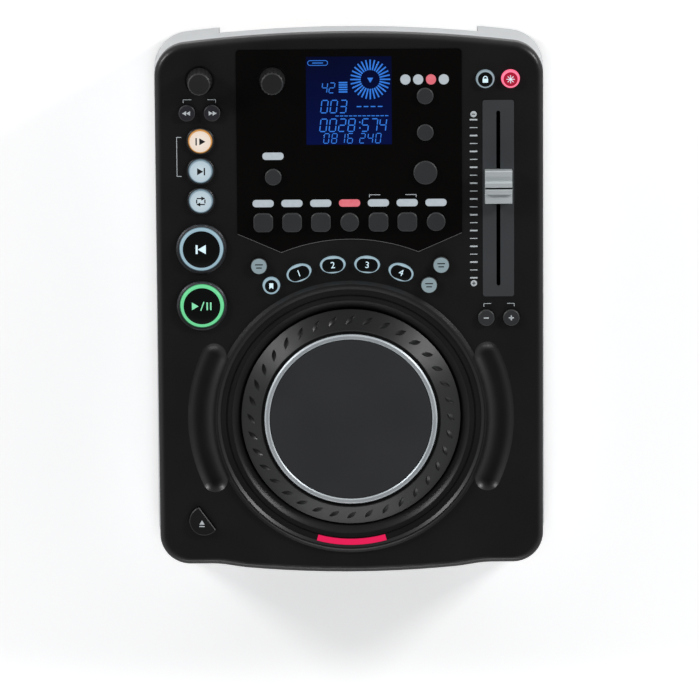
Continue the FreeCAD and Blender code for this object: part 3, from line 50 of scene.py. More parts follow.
turned = Matrix((panel_right, panel_rear, panel_out)).transposed().to_4x4()
PANEL = Matrix.Translation(panel_middle) @ turned
UNPANEL = PANEL.inverted()


def panel_box(node):
    """Lowest and highest corners of a CAD node in the panel's frame, in millimetres."""
    corners = [UNPANEL @ v.co for v in frame["nodes"][node].data.vertices]
    low = Vector([min(c[i] for c in corners) / MM for i in range(3)])
    high = Vector([max(c[i] for c in corners) / MM for i in range(3)])
    return low, high


def cap_top(node):
    """The middle of a button's top face in the panel's frame, in millimetres."""
    low, high = panel_box(node)
    return (low.x + high.x) / 2, (low.y + high.y) / 2, high.z


def on_panel(u, v, w=0.0):
    return PANEL @ Vector((u * MM, v * MM, w * MM))


# Finishes
class Value:
    """A socket in a finish's nodes that can be used in arithmetic."""

    def __init__(self, finish, socket):
        self.finish, self.socket = finish, socket

    def math(self, operation, *others):
        return self.finish.node("ShaderNodeMath", {"operation": operation}, [self, *others])

    def __add__(self, other):
        return self.math("ADD", other)

    def __mul__(self, other):
        return self.math("MULTIPLY", other)

    def __sub__(self, other):
        return self.math("SUBTRACT", other)

    def __rsub__(self, other):
        return self.finish.node("ShaderNodeMath", {"operation": "SUBTRACT"}, [other, self])

    __radd__ = __add__
    __rmul__ = __mul__

    def above(self, limit):
        return self.math("GREATER_THAN", limit)

    def below(self, limit):
        return self.math("LESS_THAN", limit)


def linear(code):
    """A colour written as six hexadecimal digits, as linear red, green, blue and alpha."""
    parts = [int(code[i:i + 2], 16) / 255 for i in (0, 2, 4)]
    return [p / 12.92 if p < 0.04045 else ((p + 0.055) / 1.055) ** 2.4 for p in parts] + [1.0]


class Finish:
    """One material: its nodes, and the Principled shader that they feed."""

    def __init__(self, name, **constants):
        self.material = bpy.data.materials.new(name)
        self.material.use_nodes = True
        self.tree = self.material.node_tree
        self.shader = self.tree.nodes["Principled BSDF"]
        for socket, value in constants.items():
            self.shader.inputs[socket.replace("_", " ")].default_value = value
        self.place = self.node("ShaderNodeTexCoord", output="Object")

    def node(self, kind, settings=None, inputs=(), output=0):
        made = self.tree.nodes.new(kind)
        for key, value in (settings or {}).items():
            setattr(made, key, value)
        pairs = inputs.items() if isinstance(inputs, dict) else enumerate(inputs)
        for key, value in pairs:
            if isinstance(value, Value):
                self.tree.links.new(value.socket, made.inputs[key])
            else:
                made.inputs[key].default_value = value
        return Value(self, made.outputs[output])

    def noise(self, scale, detail=3.0):
        inputs = {"Vector": self.place, "Scale": scale, "Detail": detail}
        return self.node("ShaderNodeTexNoise", {}, inputs, "Fac")

    def mix(self, share, first, second):
        return self.node("ShaderNodeMix", {"data_type": "RGBA"}, {0: share, 6: first, 7: second}, 2)

    def share(self, value, start, end):
        """Runs from 0 where a value is at start to 1 where it is at end."""
        return self.node("ShaderNodeMapRange", {"clamp": True}, {0: value, 1: start, 2: end, 3: 0.0, 4: 1.0})

    def from_place(self, operation, vector):
        inputs = {0: self.place, 1: vector}
        return self.node("ShaderNodeVectorMath", {"operation": operation}, inputs, "Value")

    def along(self, axis):
        """How far a point lies along a direction from the frame's origin, in metres."""
        return self.from_place("DOT_PRODUCT", axis)

    def far_from(self, point):
        return self.from_place("DISTANCE", point)

    def feed(self, socket, value):
        self.tree.links.new(value.socket, self.shader.inputs[socket])

    def bump(self, height, strength, distance):
        inputs = {"Strength": strength, "Distance": distance, "Height": height}
        self.feed("Normal", self.node("ShaderNodeBump", {}, inputs, "Normal"))


# Plastic: scale and share of the colour's drift, and what drift and grain add to the roughness
DRIFT_SCALE, DRIFT_SHARE = 28.0, 0.7
DRIFT_SHINE, GRAIN_SHINE, PLASTIC_MIDDLE = 0.08, 0.06, 0.07
# Metal: scales of its clouds and scratches, and what they add to the roughness
CLOUD_SCALE, SCRATCH_SCALE, SCRATCH_DEPTH = 60.0, 900.0, 0.00002
CLOUD_SHINE, SCRATCH_SHINE, METAL_MIDDLE = 0.1, 0.08, 0.08
# Backlit faces: scale and share of their mottling, and how much of the colour shows unlit
MOTTLE_SCALE, MOTTLE_SHARE = 900.0, 0.1
UNLIT_SHARE, UNLIT_MOTTLE = 0.25, 0.2


def moulded(name, colour, lighter, roughness, grain=2400.0, depth=0.00004, bump=0.35, **constants):
    """Moulded plastic: slow drifts of colour, a fine grain and a little uneven shine."""
    finish = Finish(name, **constants)
    drift = finish.noise(DRIFT_SCALE, 2.0)
    grains = finish.noise(grain, 2.0)
    tone = drift * DRIFT_SHARE + grains * (1 - DRIFT_SHARE)
    finish.feed("Base Color", finish.mix(tone, linear(colour), linear(lighter)))
    finish.feed("Roughness", drift * DRIFT_SHINE + grains * GRAIN_SHINE + (roughness - PLASTIC_MIDDLE))
    finish.bump(grains, bump, depth)
    return finish


def metal(name, colour, lighter, roughness, bump=0.15, metallic=1.0):
    """Plated or brushed metal: clouds of tone and fine scratches."""
    finish = Finish(name, Metallic=metallic)
    cloud = finish.noise(CLOUD_SCALE, 4.0)
    scratches = finish.noise(SCRATCH_SCALE, 5.0)
    finish.feed("Base Color", finish.mix(cloud, linear(colour), linear(lighter)))
    finish.feed("Roughness", cloud * CLOUD_SHINE + scratches * SCRATCH_SHINE + (roughness - METAL_MIDDLE))
    finish.bump(scratches, bump, SCRATCH_DEPTH)
    return finish


def lit(name, core, edge, glow, middle=None, reach=None):
    """A backlit face: brightest over its lamp and deeper in colour towards its edge."""
    finish = Finish(name, Roughness=0.3, Coat_Weight=0.3, Emission_Strength=glow)
    mottle = finish.noise(MOTTLE_SCALE, 2.0)
    outward = mottle
    if middle is not None:
        distance = finish.share(finish.far_from(middle), 0.0, reach)
        outward = distance * (1 - MOTTLE_SHARE) + mottle * MOTTLE_SHARE
    unlit = mottle * UNLIT_MOTTLE + UNLIT_SHARE
    finish.feed("Base Color", finish.mix(unlit, linear("050505"), linear(edge)))
    finish.feed("Emission Color", finish.mix(outward, linear(core), linear(edge)))
    return finish


cover_black = moulded("cover_black", "121111", "1d1c1c", 0.36, grain=1800.0, IOR=1.45)
overlay_gloss = moulded("overlay_gloss", "050403", "0a0807", 0.14, 500.0, 0.000004, 0.1, IOR=1.4)
pot_black = moulded("pot_black", "040404", "080808", 0.6, IOR=1.2)
housing_silver = moulded("housing_silver", "c9cccd", "d7d9da", 0.42, grain=2600.0)
bezel_black = moulded("bezel_black", "0c0c0d", "171718", 0.3)
foot_rubber = moulded("foot_rubber", "0d0d0d", "1a1a1a", 0.85, grain=1500.0, depth=0.0001)
inlet_black = moulded("inlet_black", "0e0e0f", "181819", 0.45)
rocker_black = moulded("rocker_black", "101011", "1d1d1e", 0.28)
wheel_black = moulded("wheel_black", "0e0e0e", "191919", 0.36, grain=1500.0)
plate_grey = moulded("plate_grey", "27282a", "303133", 0.5, grain=3200.0, bump=0.25)
fader_grey = moulded("fader_grey", "36383a", "434649", 0.5, grain=3000.0)
fader_silver = moulded("fader_silver", "c3cbcc", "d6dcdc", 0.3, grain=1600.0, Metallic=0.2)
knob_black = moulded("knob_black", "1b1b1c", "2b2b2b", 0.4, grain=1400.0)
eject_black = moulded("eject_black", "111112", "1a1a1b", 0.34)
button_grey = moulded("button_grey", "2a2b2c", "3a3b3c", 0.42, grain=1600.0)
search_grey = moulded("search_grey", "232327", "343439", 0.34, grain=1600.0)
hub_black = moulded("hub_black", "111112", "1c1c1d", 0.4)
sled_grey = moulded("sled_grey", "2e3033", "3d4044", 0.5)
smoked_metal = metal("smoked_metal", "4c4c4f", "7e8083", 0.3)
plated_steel = metal("plated_steel", "a2a5a8", "c4c6c8", 0.3)
base_steel = metal("base_steel", "2a2b2d", "3b3c3e", 0.42)
screw_steel = metal("screw_steel", "3a3a3b", "555556", 0.35)
jack_brass = metal("jack_brass", "c8a04c", "e0bf70", 0.26)
trim_chrome = metal("trim_chrome", "c3ccd2", "e2e8ea", 0.4, bump=0.05, metallic=0.6)

# Boards: scale of the mesh that their tracks follow, and the tracks' width, depth and relief
CELL_SCALE, TRACK_WIDTH, TRACK_DEPTH, TRACK_BUMP = 260.0, 0.06, 0.00005, 0.3
CODE_SCALE = 180.0  # the encoder wheel's bars


def circuit_board():
    """Solder mask over a woven board, with bright tin where tracks come up."""
    finish = Finish("circuit_board", Coat_Weight=0.4, Coat_Roughness=0.2)
    cells = finish.node("ShaderNodeTexVoronoi", {"feature": "DISTANCE_TO_EDGE"},
                        {"Vector": finish.place, "Scale": CELL_SCALE}, "Distance")
    tracks = cells.below(TRACK_WIDTH)
    green = finish.mix(finish.noise(90.0), linear("0d3a22"), linear("14502e"))
    finish.feed("Base Color", finish.mix(tracks * 0.6, green, linear("2c7a48")))
    finish.feed("Roughness", 0.5 - tracks * 0.15)
    finish.bump(tracks, TRACK_BUMP, TRACK_DEPTH)
    return finish


def code_disc():
    """The clear encoder wheel's fine black bars, seen through the slots in the hub."""
    finish = Finish("code_disc", Roughness=0.3)
    bars = finish.node("ShaderNodeTexWave", {"wave_type": "RINGS"},
                       {"Vector": finish.place, "Scale": CODE_SCALE}, "Fac")
    finish.feed("Base Color", finish.mix(bars.above(0.5), linear("101010"), linear("8c9094")))
    return finish


board_green = circuit_board()
code_grey = code_disc()

# Where the lit windows lie on the panel, in millimetres
WHEEL_LIGHT_V = -100.0
LAMP_ROW_V = 110.0
PINK_LAMP_U = (42.0, 49.5)
PINK_PILL_U = (-7.0, 7.0)
PILL_ROW_V = (0.0, 70.0)
panel_zero = panel_middle.dot(panel_rear)
CLOUD_SHARE = 0.25  # how cloudy the display's light is


def window_lights():
    """The cover's lit windows: pale lamps and pills, two of them pink, and the crimson bar
    in front of the jog wheel, told apart by where they lie on the panel."""
    finish = Finish("lit_window", Roughness=0.28, Coat_Weight=0.3, Emission_Strength=0.9)

    def between(value, limits, zero=0.0):
        return value.above(zero + limits[0] * MM) * value.below(zero + limits[1] * MM)

    across, back = finish.along(panel_right), finish.along(panel_rear)
    wheel_light = back.below(panel_zero + WHEEL_LIGHT_V * MM)
    pink_lamp = between(across, PINK_LAMP_U) * back.above(panel_zero + LAMP_ROW_V * MM)
    pink_pill = between(across, PINK_PILL_U) * between(back, PILL_ROW_V, panel_zero)
    cloud = finish.noise(500.0, 2.0)
    pale = finish.mix(cloud, linear("aeb9c0"), linear("c6d0d6"))
    pink = finish.mix(cloud, linear("e2586a"), linear("f08a92"))
    glow = finish.mix(pink_lamp + pink_pill, pale, pink)
    finish.feed("Base Color", finish.mix(wheel_light, linear("202426"), linear("40060f")))
    finish.feed("Emission Color", finish.mix(wheel_light, glow, linear("ee1e5a")))
    return finish


def lcd_glass():
    """The lit display: deep navy, a little brighter over the lamp at the bottom, on black."""
    finish = Finish("display_blue", Roughness=0.12, IOR=1.4, Emission_Strength=0.8)
    low, high = panel_box("display_module")
    up = finish.share(finish.along(panel_rear), panel_zero + low.y * MM, panel_zero + high.y * MM)
    cloud = finish.noise(70.0, 2.0)
    finish.feed("Base Color", finish.mix(cloud, linear("010208"), linear("03041a")))
    depth = up * (1 - CLOUD_SHARE) + cloud * CLOUD_SHARE
    finish.feed("Emission Color", finish.mix(depth, linear("041048"), linear("01041c")))
    return finish


windows = window_lights()
display_blue = lcd_glass()
mark_white = moulded("mark_white", "c4ccd0", "d4dadd", 0.5, bump=0.1)
mark_black = moulded("mark_black", "0c0d0e", "141516", 0.5, bump=0.1)
gloss_black = moulded("gloss_black", "060707", "0b0c0d", 0.14, bump=0.05,
                      Coat_Weight=0.5, Coat_Roughness=0.05)
# Light grey for the strip along the overlay's lower edge: a painted highlight for the edge's glint
painted_edge_highlight = moulded("painted_edge_highlight", "5c5c5c", "707070", 0.3, bump=0.05)
lit_blue = lit("lit_segment", "3a86e0", "2466cc", 0.9)
lit_mint = lit("lit_mint", "9be6bd", "6fd29a", 0.9)
lit_digit = lit("lit_digit", "e4f2f7", "b9dbe8", 1.0)
disc_grey = lit("disc_grey", "93a5aa", "82959b", 0.75)


def dress(node, finish):
    data = frame["nodes"][node].data
    data.materials.clear()
    data.materials.append(finish.material)


DRESSED = {
    cover_black: ["top_cover"], overlay_gloss: ["control_overlay"], display_blue: ["display_module"],
    windows: ["light_guides"], smoked_metal: ["button_collars"], fader_grey: ["fader_plate"],
    plated_steel: ["jog_spindle", "drive_chassis"], pot_black: ["slide_potentiometer"],
    board_green: ["control_board", "main_board"], housing_silver: ["lower_housing"],
    bezel_black: ["slot_bezel"], base_steel: ["bottom_plate", "rear_panel"], foot_rubber: ["rubber_feet"],
    screw_steel: ["case_screws"], jack_brass: ["output_jacks"], inlet_black: ["power_inlet"],
    rocker_black: ["power_rocker"], wheel_black: ["jog_ring"], trim_chrome: ["jog_trim"],
    plate_grey: ["jog_plate"], code_grey: ["encoder_disc"], knob_black: ["track_knob", "folder_knob"],
    hub_black: ["disc_spindle"], sled_grey: ["laser_sled"],
    search_grey: ["search_back_button", "search_forward_button"],
    button_grey: [n + "_button" for n in (
        "scratch", "pitch_range", "bpm", "tap", "bend_minus", "bend_plus", "echo", "flanger",
        "filter", "brake", "parameter_x", "parameter_y", "hold", "cue_select", "time", "single")],
    eject_black: ["eject_button"],
}
for finish, nodes in DRESSED.items():
    for node in nodes:
        dress(node, finish)

# Modelling on the panel, in millimetres
BEVEL_ANGLE, SMOOTH_ANGLE = radians(35), radians(40)
CORNER_STEPS = 6
DIGIT_SHARE = 0.7  # a digit's height as a share of its font size
WELD = 0.000001
# How far faces and marks are set in and stand out, and how much their edges are softened
FACE_SINK, FACE_RISE, FACE_EDGE = 0.3, 0.12, 0.08
MARK_SINK, MARK_RISE, LOW_RISE, FLAT_RISE, MARK_EDGE = 0.1, 0.1, 0.08, 0.05, 0.05
FINE = 0.02  # the softened edge of the thinnest lines


def clear_selection():
    if bpy.context.object and bpy.context.object.mode != "OBJECT":
        bpy.ops.object.mode_set(mode="OBJECT")
    bpy.ops.object.select_all(action="DESELECT")


def edit():
    bpy.ops.object.mode_set(mode="EDIT")
    bpy.ops.mesh.select_mode(type="FACE")
    bpy.ops.mesh.select_all(action="SELECT")


def leave(piece, width=0.0, segments=2):
    """Turns the faces outwards, leaves edit mode, softens the edges and shades the piece smooth."""
    bpy.ops.mesh.select_all(action="SELECT")
    bpy.ops.mesh.normals_make_consistent(inside=False)
    bpy.ops.object.mode_set(mode="OBJECT")
    bpy.ops.object.transform_apply(location=True, rotation=True, scale=True)
    if width:
        soft = piece.modifiers.new("soft_edges", "BEVEL")
        soft.width, soft.segments, soft.limit_method = width * MM, segments, "ANGLE"
        soft.angle_limit = BEVEL_ANGLE
        bpy.ops.object.modifier_apply(modifier=soft.name)
    bpy.ops.object.shade_smooth_by_angle(angle=SMOOTH_ANGLE)
    return piece


def extruded(corners, shift, width, segments):
    """A form between a flat face with these corners and its copy at a shift, in millimetres:
    a disc whose rim is moved to the corners."""
    clear_selection()
    bpy.ops.mesh.primitive_circle_add(vertices=len(corners), radius=1, fill_type="NGON")
    piece = bpy.context.object
    for vertex, corner in zip(piece.data.vertices, corners):
        vertex.co = [c * MM for c in corner]
    edit()
    bpy.ops.mesh.extrude_region_move(TRANSFORM_OT_translate={"value": [s * MM for s in shift]})
    return leave(piece, width, segments)


def outline(points, w0, w1, width=0.0, segments=2):
    """A flat piece with this plan, from w0 to w1."""
    return extruded([(u, v, w0) for u, v in points], (0, 0, w1 - w0), width, segments)


def set_out(points, u, v, turn):
    """Points turned by this many degrees and moved to (u, v)."""
    c, s = cos(radians(turn)), sin(radians(turn))
    return [(u + x * c - y * s, v + x * s + y * c) for x, y in points]


def disc(u, v, w0, w1, radius, width=0.15, sides=64):
    return outline([(u + radius * cos(2 * pi * i / sides), v + radius * sin(2 * pi * i / sides))
                    for i in range(sides)], w0, w1, width)


def bar(u, v, length, breadth, w0, w1, turn=0.0, width=0.1):
    corners = [(a * length / 2, b * breadth / 2) for a, b in ((-1, -1), (1, -1), (1, 1), (-1, 1))]
    return outline(set_out(corners, u, v, turn), w0, w1, width, 1)


def triangle(u, v, size, w0, w1, turn=0.0):
    """A triangle that points to the right before it is turned; size is from middle to corner."""
    corners = [(size * cos(radians(a)), size * sin(radians(a))) for a in (0, 120, 240)]
    return outline(set_out(corners, u, v, turn), w0, w1, MARK_EDGE, 1)


def oval_points(length, breadth, corner, u=0.0, v=0.0, turn=0.0):
    points = []
    for a, b, start in ((1, -1, -90), (1, 1, 0), (-1, 1, 90), (-1, -1, 180)):
        for i in range(CORNER_STEPS + 1):
            angle = radians(start + 90 * i / CORNER_STEPS)
            points.append((a * (length / 2 - corner) + corner * cos(angle),
                           b * (breadth / 2 - corner) + corner * sin(angle)))
    return set_out(points, u, v, turn)


def ring(u, v, inner, outer, w0, w1, width=0.15, sides=64):
    """A flat ring: a disc whose faces are inset and bridged."""
    clear_selection()
    bpy.ops.mesh.primitive_cylinder_add(vertices=sides, radius=outer * MM, depth=(w1 - w0) * MM,
                                        location=(u * MM, v * MM, (w0 + w1) / 2 * MM))
    piece = bpy.context.object
    edit()
    bpy.ops.mesh.select_all(action="DESELECT")
    bpy.ops.object.mode_set(mode="OBJECT")
    for face in piece.data.polygons:
        face.select = abs(face.normal.z) > 0.9
    bpy.ops.object.mode_set(mode="EDIT")
    bpy.ops.mesh.inset(thickness=(outer - inner) * MM, depth=0)
    bpy.ops.mesh.bridge_edge_loops()
    return leave(piece, width)


def digit(text, u, v, height, w0, w1, turn):
    """A plain number, made from Blender's own letter form."""
    clear_selection()
    bpy.ops.object.text_add(location=(0, 0, 0))
    piece = bpy.context.object
    piece.data.body = text
    piece.data.size = height / DIGIT_SHARE * MM
    piece.data.extrude = (w1 - w0) / 2 * MM
    piece.data.align_x, piece.data.align_y = "CENTER", "CENTER"
    bpy.ops.object.convert(target="MESH")
    piece = bpy.context.object
    piece.data.transform(Matrix.Translation((u * MM, v * MM, (w0 + w1) / 2 * MM))
                         @ Matrix.Rotation(radians(turn), 4, "Z"))
    edit()
    bpy.ops.mesh.remove_doubles(threshold=WELD)
    bpy.ops.object.mode_set(mode="OBJECT")
    return piece


def finish_piece(name, pieces, finish, body):
    """Joins what belongs together, lays it on the panel and lets it ride with its body."""
    clear_selection()
    for piece in pieces:
        piece.select_set(True)
    bpy.context.view_layer.objects.active = pieces[0]
    if len(pieces) > 1:
        bpy.ops.object.join()
    whole = bpy.context.object
    whole.name = whole.data.name = name
    whole.data.transform(PANEL)
    whole.data.materials.clear()
    whole.data.materials.append(finish.material)
    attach(whole, body)
    return whole


def copy_round(piece, turn, about):
    """A copy of a piece, with its own mesh, turned about a point of the panel."""
    copy = piece.copy()
    copy.data = piece.data.copy()
    bpy.context.collection.objects.link(copy)
    centre = Matrix.Translation((about[0] * MM, about[1] * MM, 0))
    copy.data.transform(centre @ Matrix.Rotation(radians(turn), 4, "Z") @ centre.inverted())
    return copy


def marks(parts, u, v, top, rise=MARK_RISE):
    """An icon on a face: bars (right, back, length, breadth, turn) and triangles (right, back,
    size, turn), placed from the middle of the face."""
    made = []
    for du, dv, *sizes in parts:
        *sizes, turn = sizes
        shape = bar if len(sizes) == 2 else triangle
        made.append(shape(u + du, v + dv, *sizes, top - MARK_SINK, top + rise, turn))
    return made


def backlit(name, core, edge, radius, glow):
    """A button whose cap glows from its middle. Gives the middle of its top."""
    u, v, w = cap_top(name + "_button")
    dress(name + "_button", lit(name + "_glow", core, edge, glow, on_panel(u, v, w), radius * MM))
    return u, v, w


def face_on(name, u, v, w, radius, finish):
    """A round face on a button's cap. Gives the height of its top."""
    face = disc(u, v, w - FACE_SINK, w + FACE_RISE, radius, FACE_EDGE)
    finish_piece(name + "_face", [face], finish, name + "_key")
    return w + FACE_RISE


# Round backlit buttons: colours of the cap, its radius and glow, and the radius of its face
BACKLIT = {
    "cue": ("9fb9c4", "8aa7b4", 12.5, 0.95, 10.4),
    "play_pause": ("8fdcae", "5fc889", 12.5, 0.95, 10.3),
    "loop_in": ("f0b060", "c98f4a", 6.6, 0.8, 5.9),
    "loop_out": ("8fa6b2", "7c95a2", 6.6, 0.7, 5.9),
    "reloop": ("8fa6b2", "7c95a2", 6.6, 0.7, 5.9),
    "memory": ("a9bfc8", "8aa5b1", 5.0, 0.9, 3.6),
    "tempo_lock": ("a9b9c0", "8698a1", 5.2, 0.8, 4.1),
    "pitch_on": ("ff9ab2", "ff6f90", 5.2, 0.95, 3.9),
}
# The faces that glow too: name, colours, glow and the lamp's reach in millimetres
GLOWING_FACES = {
    "loop_in": ("loop_in_cream", "ece6de", "e2d0bf", 0.85, 6.0),
    "loop_out": ("loop_out_pale", "cad8de", "aabcc6", 0.85, 6.0),
    "reloop": ("reloop_pale", "cad8de", "aabcc6", 0.85, 6.0),
    "pitch_on": ("pitch_on_red", "d0304f", "9a0828", 0.8, 4.0),
}
# Their icons: the mark's finish, how far it stands out, and its bars and triangles
ICONS = {
    "cue": (lit_digit, MARK_RISE, [(-2.6, 0, 1.1, 5.0, 0), (1.0, 0, 3.0, 180)]),
    "play_pause": (lit_mint, MARK_RISE, [(-4.4, 0, 2.5, 0), (0.2, 0, 0.6, 5.4, -20),
                                         (2.9, 0, 0.8, 4.4, 0), (4.9, 0, 0.8, 4.4, 0)]),
    "loop_in": (mark_black, LOW_RISE, [(0.7, 0, 2.3, 0), (-2.2, 0, 0.8, 4.2, 0)]),
    "loop_out": (mark_black, LOW_RISE, [(-0.7, 0, 2.3, 0), (2.2, 0, 0.8, 4.2, 0)]),
    "reloop": (mark_black, LOW_RISE, [(0, 1.7, 4.6, 0.7, 0), (0, -1.7, 4.6, 0.7, 0), (-2.3, 0, 0.7, 2.2, 0),
                                      (2.3, 0, 0.7, 2.2, 0), (1.0, 1.7, 1.4, 0), (-1.0, -1.7, 1.4, 180)]),
    "tempo_lock": (lit_digit, MARK_RISE, [(0, -0.7, 3.0, 2.2, 0)]),
    "pitch_on": (lit_digit, MARK_RISE, [(0, 0, 4.6, 0.35, turn) for turn in (0, 45, 90, 135)]),
}
BOOKMARK = [(-1.1, -1.6), (0, -0.7), (1.1, -1.6), (1.1, 1.7), (-1.1, 1.7)]
SHACKLE = (0.8, 1.3)  # inner and outer radius of the padlock's ring
SHACKLE_RISE, SHACKLE_EDGE, SHACKLE_SIDES = 0.7, 0.03, 24
for name, (core, edge, radius, glow, face_radius) in BACKLIT.items():
    u, v, w = backlit(name, core, edge, radius, glow)
    face_finish = gloss_black
    if name in GLOWING_FACES:
        *colours, reach = GLOWING_FACES[name]
        face_finish = lit(*colours, on_panel(u, v, w), reach * MM)
    top = face_on(name, u, v, w, face_radius, face_finish)
    if name == "memory":
        plan = [(u + du, v + dv) for du, dv in BOOKMARK]
        icon, mark = [outline(plan, top - MARK_SINK, top + LOW_RISE)], lit_digit
    else:
        mark, rise, parts = ICONS[name]
        icon = marks(parts, u, v, top, rise)
    if name == "tempo_lock":
        icon.append(ring(u, v + SHACKLE_RISE, *SHACKLE, top - MARK_SINK, top + MARK_RISE,
                         SHACKLE_EDGE, SHACKLE_SIDES))
    finish_piece(name + "_mark", icon, mark, name + "_key")

# Hot cue pads, numbered 1 to 4 and set along the arch
PAD_TURNS = (20.0, 4.0, -4.0, -20.0)
PAD_FACE, PAD_EDGE = (12.0, 7.4, 3.65), 0.06  # length, breadth and corner
PAD_COLOURS, PAD_RADIUS, PAD_GLOW = ("a9bfc8", "8aa5b1"), 8.0, 0.9
DIGIT_HEIGHT, DIGIT_LOW, DIGIT_HIGH = 3.6, 0.05, 0.2
for number, turn in enumerate(PAD_TURNS, 1):
    name = "hot_cue_%d" % number
    u, v, w = backlit(name, *PAD_COLOURS, PAD_RADIUS, PAD_GLOW)
    face = outline(oval_points(*PAD_FACE, u, v, turn), w - FACE_SINK, w + FACE_RISE, PAD_EDGE)
    finish_piece(name + "_face", [face], gloss_black, name + "_key")
    sign = digit(str(number), u, v, DIGIT_HEIGHT, w + DIGIT_LOW, w + DIGIT_HIGH, turn)
    finish_piece(name + "_mark", [sign], lit_digit, name + "_key")

# Pale discs with two short lines
PALE_DISC = 4.25
TWO_LINES = [(0, 0.9, 4.4, 0.7, 0), (0, -0.9, 3.2, 0.7, 0)]
for name in ("cue_select", "time", "single"):
    u, v, w = cap_top(name + "_button")
    top = face_on(name, u, v, w, PALE_DISC, disc_grey)
    finish_piece(name + "_mark", marks(TWO_LINES, u, v, top, FLAT_RISE), mark_black, name + "_key")

# Marks on the plain buttons
PLAIN_ICONS = {
    "search_back": [(1.1, 0, 1.5, 180), (-1.1, 0, 1.5, 180)],
    "search_forward": [(-1.1, 0, 1.5, 0), (1.1, 0, 1.5, 0)],
    "bend_minus": [(0, 0, 2.8, 0.7, 0)],
    "bend_plus": [(0, 0, 2.8, 0.7, 0), (0, 0, 0.7, 2.8, 0)],
    "eject": [(1.2, 0.6, 1.7, 90), (1.2, -1.3, 3.0, 0.6, 0)],
}
for name, parts in PLAIN_ICONS.items():
    finish_piece(name + "_mark", marks(parts, *cap_top(name + "_button")), mark_white, name + "_key")

# Pitch scale beside the fader: 21 lines between a minus and a plus
INK, INK_SINK = 0.1, 0.2
SCALE_GAP, SCALE_FRONT, SCALE_REAR, SCALE_STEPS = 5.0, 13.1, 102.5, 20
TICK_LENGTH, MAIN_TICK, HALF_TICK, TICK_EDGE = 4.2, 0.85, 0.45, 0.03
MINUS_V, PLUS_V = 105.6, 10.0
SIGN_DISC, SIGN_SIDES, SIGN_LENGTH, SIGN_LINE = 1.75, 32, 1.9, 0.45
scale_u = panel_box("fader_plate")[0].x - SCALE_GAP
ticks, signs = [], []
for step in range(SCALE_STEPS + 1):
    v = SCALE_FRONT + step * (SCALE_REAR - SCALE_FRONT) / SCALE_STEPS
    breadth = HALF_TICK if step % 2 else MAIN_TICK
    ticks.append(bar(scale_u, v, TICK_LENGTH, breadth, -INK_SINK, INK, width=TICK_EDGE))
for v, turns in ((MINUS_V, (0,)), (PLUS_V, (0, 90))):
    ticks.append(disc(scale_u, v, -INK_SINK, INK, SIGN_DISC, TICK_EDGE, SIGN_SIDES))
    for turn in turns:
        signs.append(bar(scale_u, v, SIGN_LENGTH, SIGN_LINE, 0.0, INK + FLAT_RISE, turn, FINE))
finish_piece("pitch_scale", ticks, mark_white, "case")
finish_piece("pitch_scale_signs", signs, mark_black, "case")

# Printed brackets: middle, length, drop of the ends and gap for a sign
LINE = 0.35
OVER_SEARCH, OVER_BEND = (-83.0, 114.7, 18.0, 1.8, 9.0), (83.2, -1.6, 17.0, 1.8, 9.0)
OVER_PARAMETERS = (24.1, 60.6, 26.0, 1.4, 14.0)
# The upright line beside the loop buttons, with a short one at each end
LOOP_U, LOOP_V, LOOP_SPAN, LOOP_END = -95.9, 82.6, 22.0, 2.6


def printed(u, v, length, breadth, base=0.0):
    return bar(u, v, length, breadth, base - INK_SINK, base + INK, width=FINE)


def bracket(u, v, length, drop, gap, base=0.0):
    """A printed line over two buttons, with a gap for its sign and its ends turned down."""
    half, part = length / 2, (length - gap) / 2
    made = []
    for side in (-1, 1):
        made.append(printed(u + side * (half - part / 2), v, part, LINE, base))
        made.append(printed(u + side * half, v - drop / 2, LINE, drop, base))
    return made


on_cover = bracket(*OVER_SEARCH) + bracket(*OVER_BEND) + [printed(LOOP_U, LOOP_V, LINE, LOOP_SPAN)]
for end in (-1, 1):
    on_cover.append(printed(LOOP_U + LOOP_END / 2, LOOP_V + end * LOOP_SPAN / 2, LOOP_END, LINE))
finish_piece("cover_brackets", on_cover, mark_white, "case")
overlay_top = panel_box("control_overlay")[1].z
finish_piece("overlay_bracket", bracket(*OVER_PARAMETERS, overlay_top), mark_white, "case")

# Characters and bars on the display, placed from the middle of its glass
glass_low, glass_high = panel_box("display_module")
SEG_SINK, SEG_RISE, INSIDE_RISE, LINE_RISE = 0.15, 0.1, 0.03, 0.06
SEG_LOW, SEG_HIGH = glass_high.z - SEG_SINK, glass_high.z + SEG_RISE
GLASS_U, GLASS_V = (glass_low.x + glass_high.x) / 2, 113.7
STROKES = {"0": "abcdef", "1": "bc", "2": "abged", "3": "abgcd", "4": "fgbc", "5": "afgcd",
           "6": "afgcde", "7": "abc", "8": "abcdefg"}
SLANT, SLANT_TURN = 0.12, 83
# A figure's breadth and line as shares of its height, and a stroke's length as a share of its room
FIGURE_BREADTH, FIGURE_LINE, STROKE_SHARE = 0.5, 0.085, 0.8


def segment(du, dv, length, breadth, turn=0, rise=0.0):
    return bar(GLASS_U + du, GLASS_V + dv, length, breadth, SEG_LOW, SEG_HIGH + rise, turn, FINE)


def figure(sign, u, v, height):
    """One seven-bar figure of the display, leaning a little to the right."""
    breadth, line = height * FIGURE_BREADTH, height * FIGURE_LINE
    half, quarter = height / 2, height / 4
    level = {"a": half, "g": 0, "d": -half}
    upright = {"b": (breadth / 2, quarter), "c": (breadth / 2, -quarter),
               "e": (-breadth / 2, -quarter), "f": (-breadth / 2, quarter)}
    made = []
    for stroke in STROKES[sign]:
        if stroke in level:
            (du, dv), room, turn = (0, level[stroke]), breadth, 0
        else:
            (du, dv), room, turn = upright[stroke], half, SLANT_TURN
        made.append(segment(u + du + dv * SLANT, v + dv, room * STROKE_SHARE, line, turn))
    return made


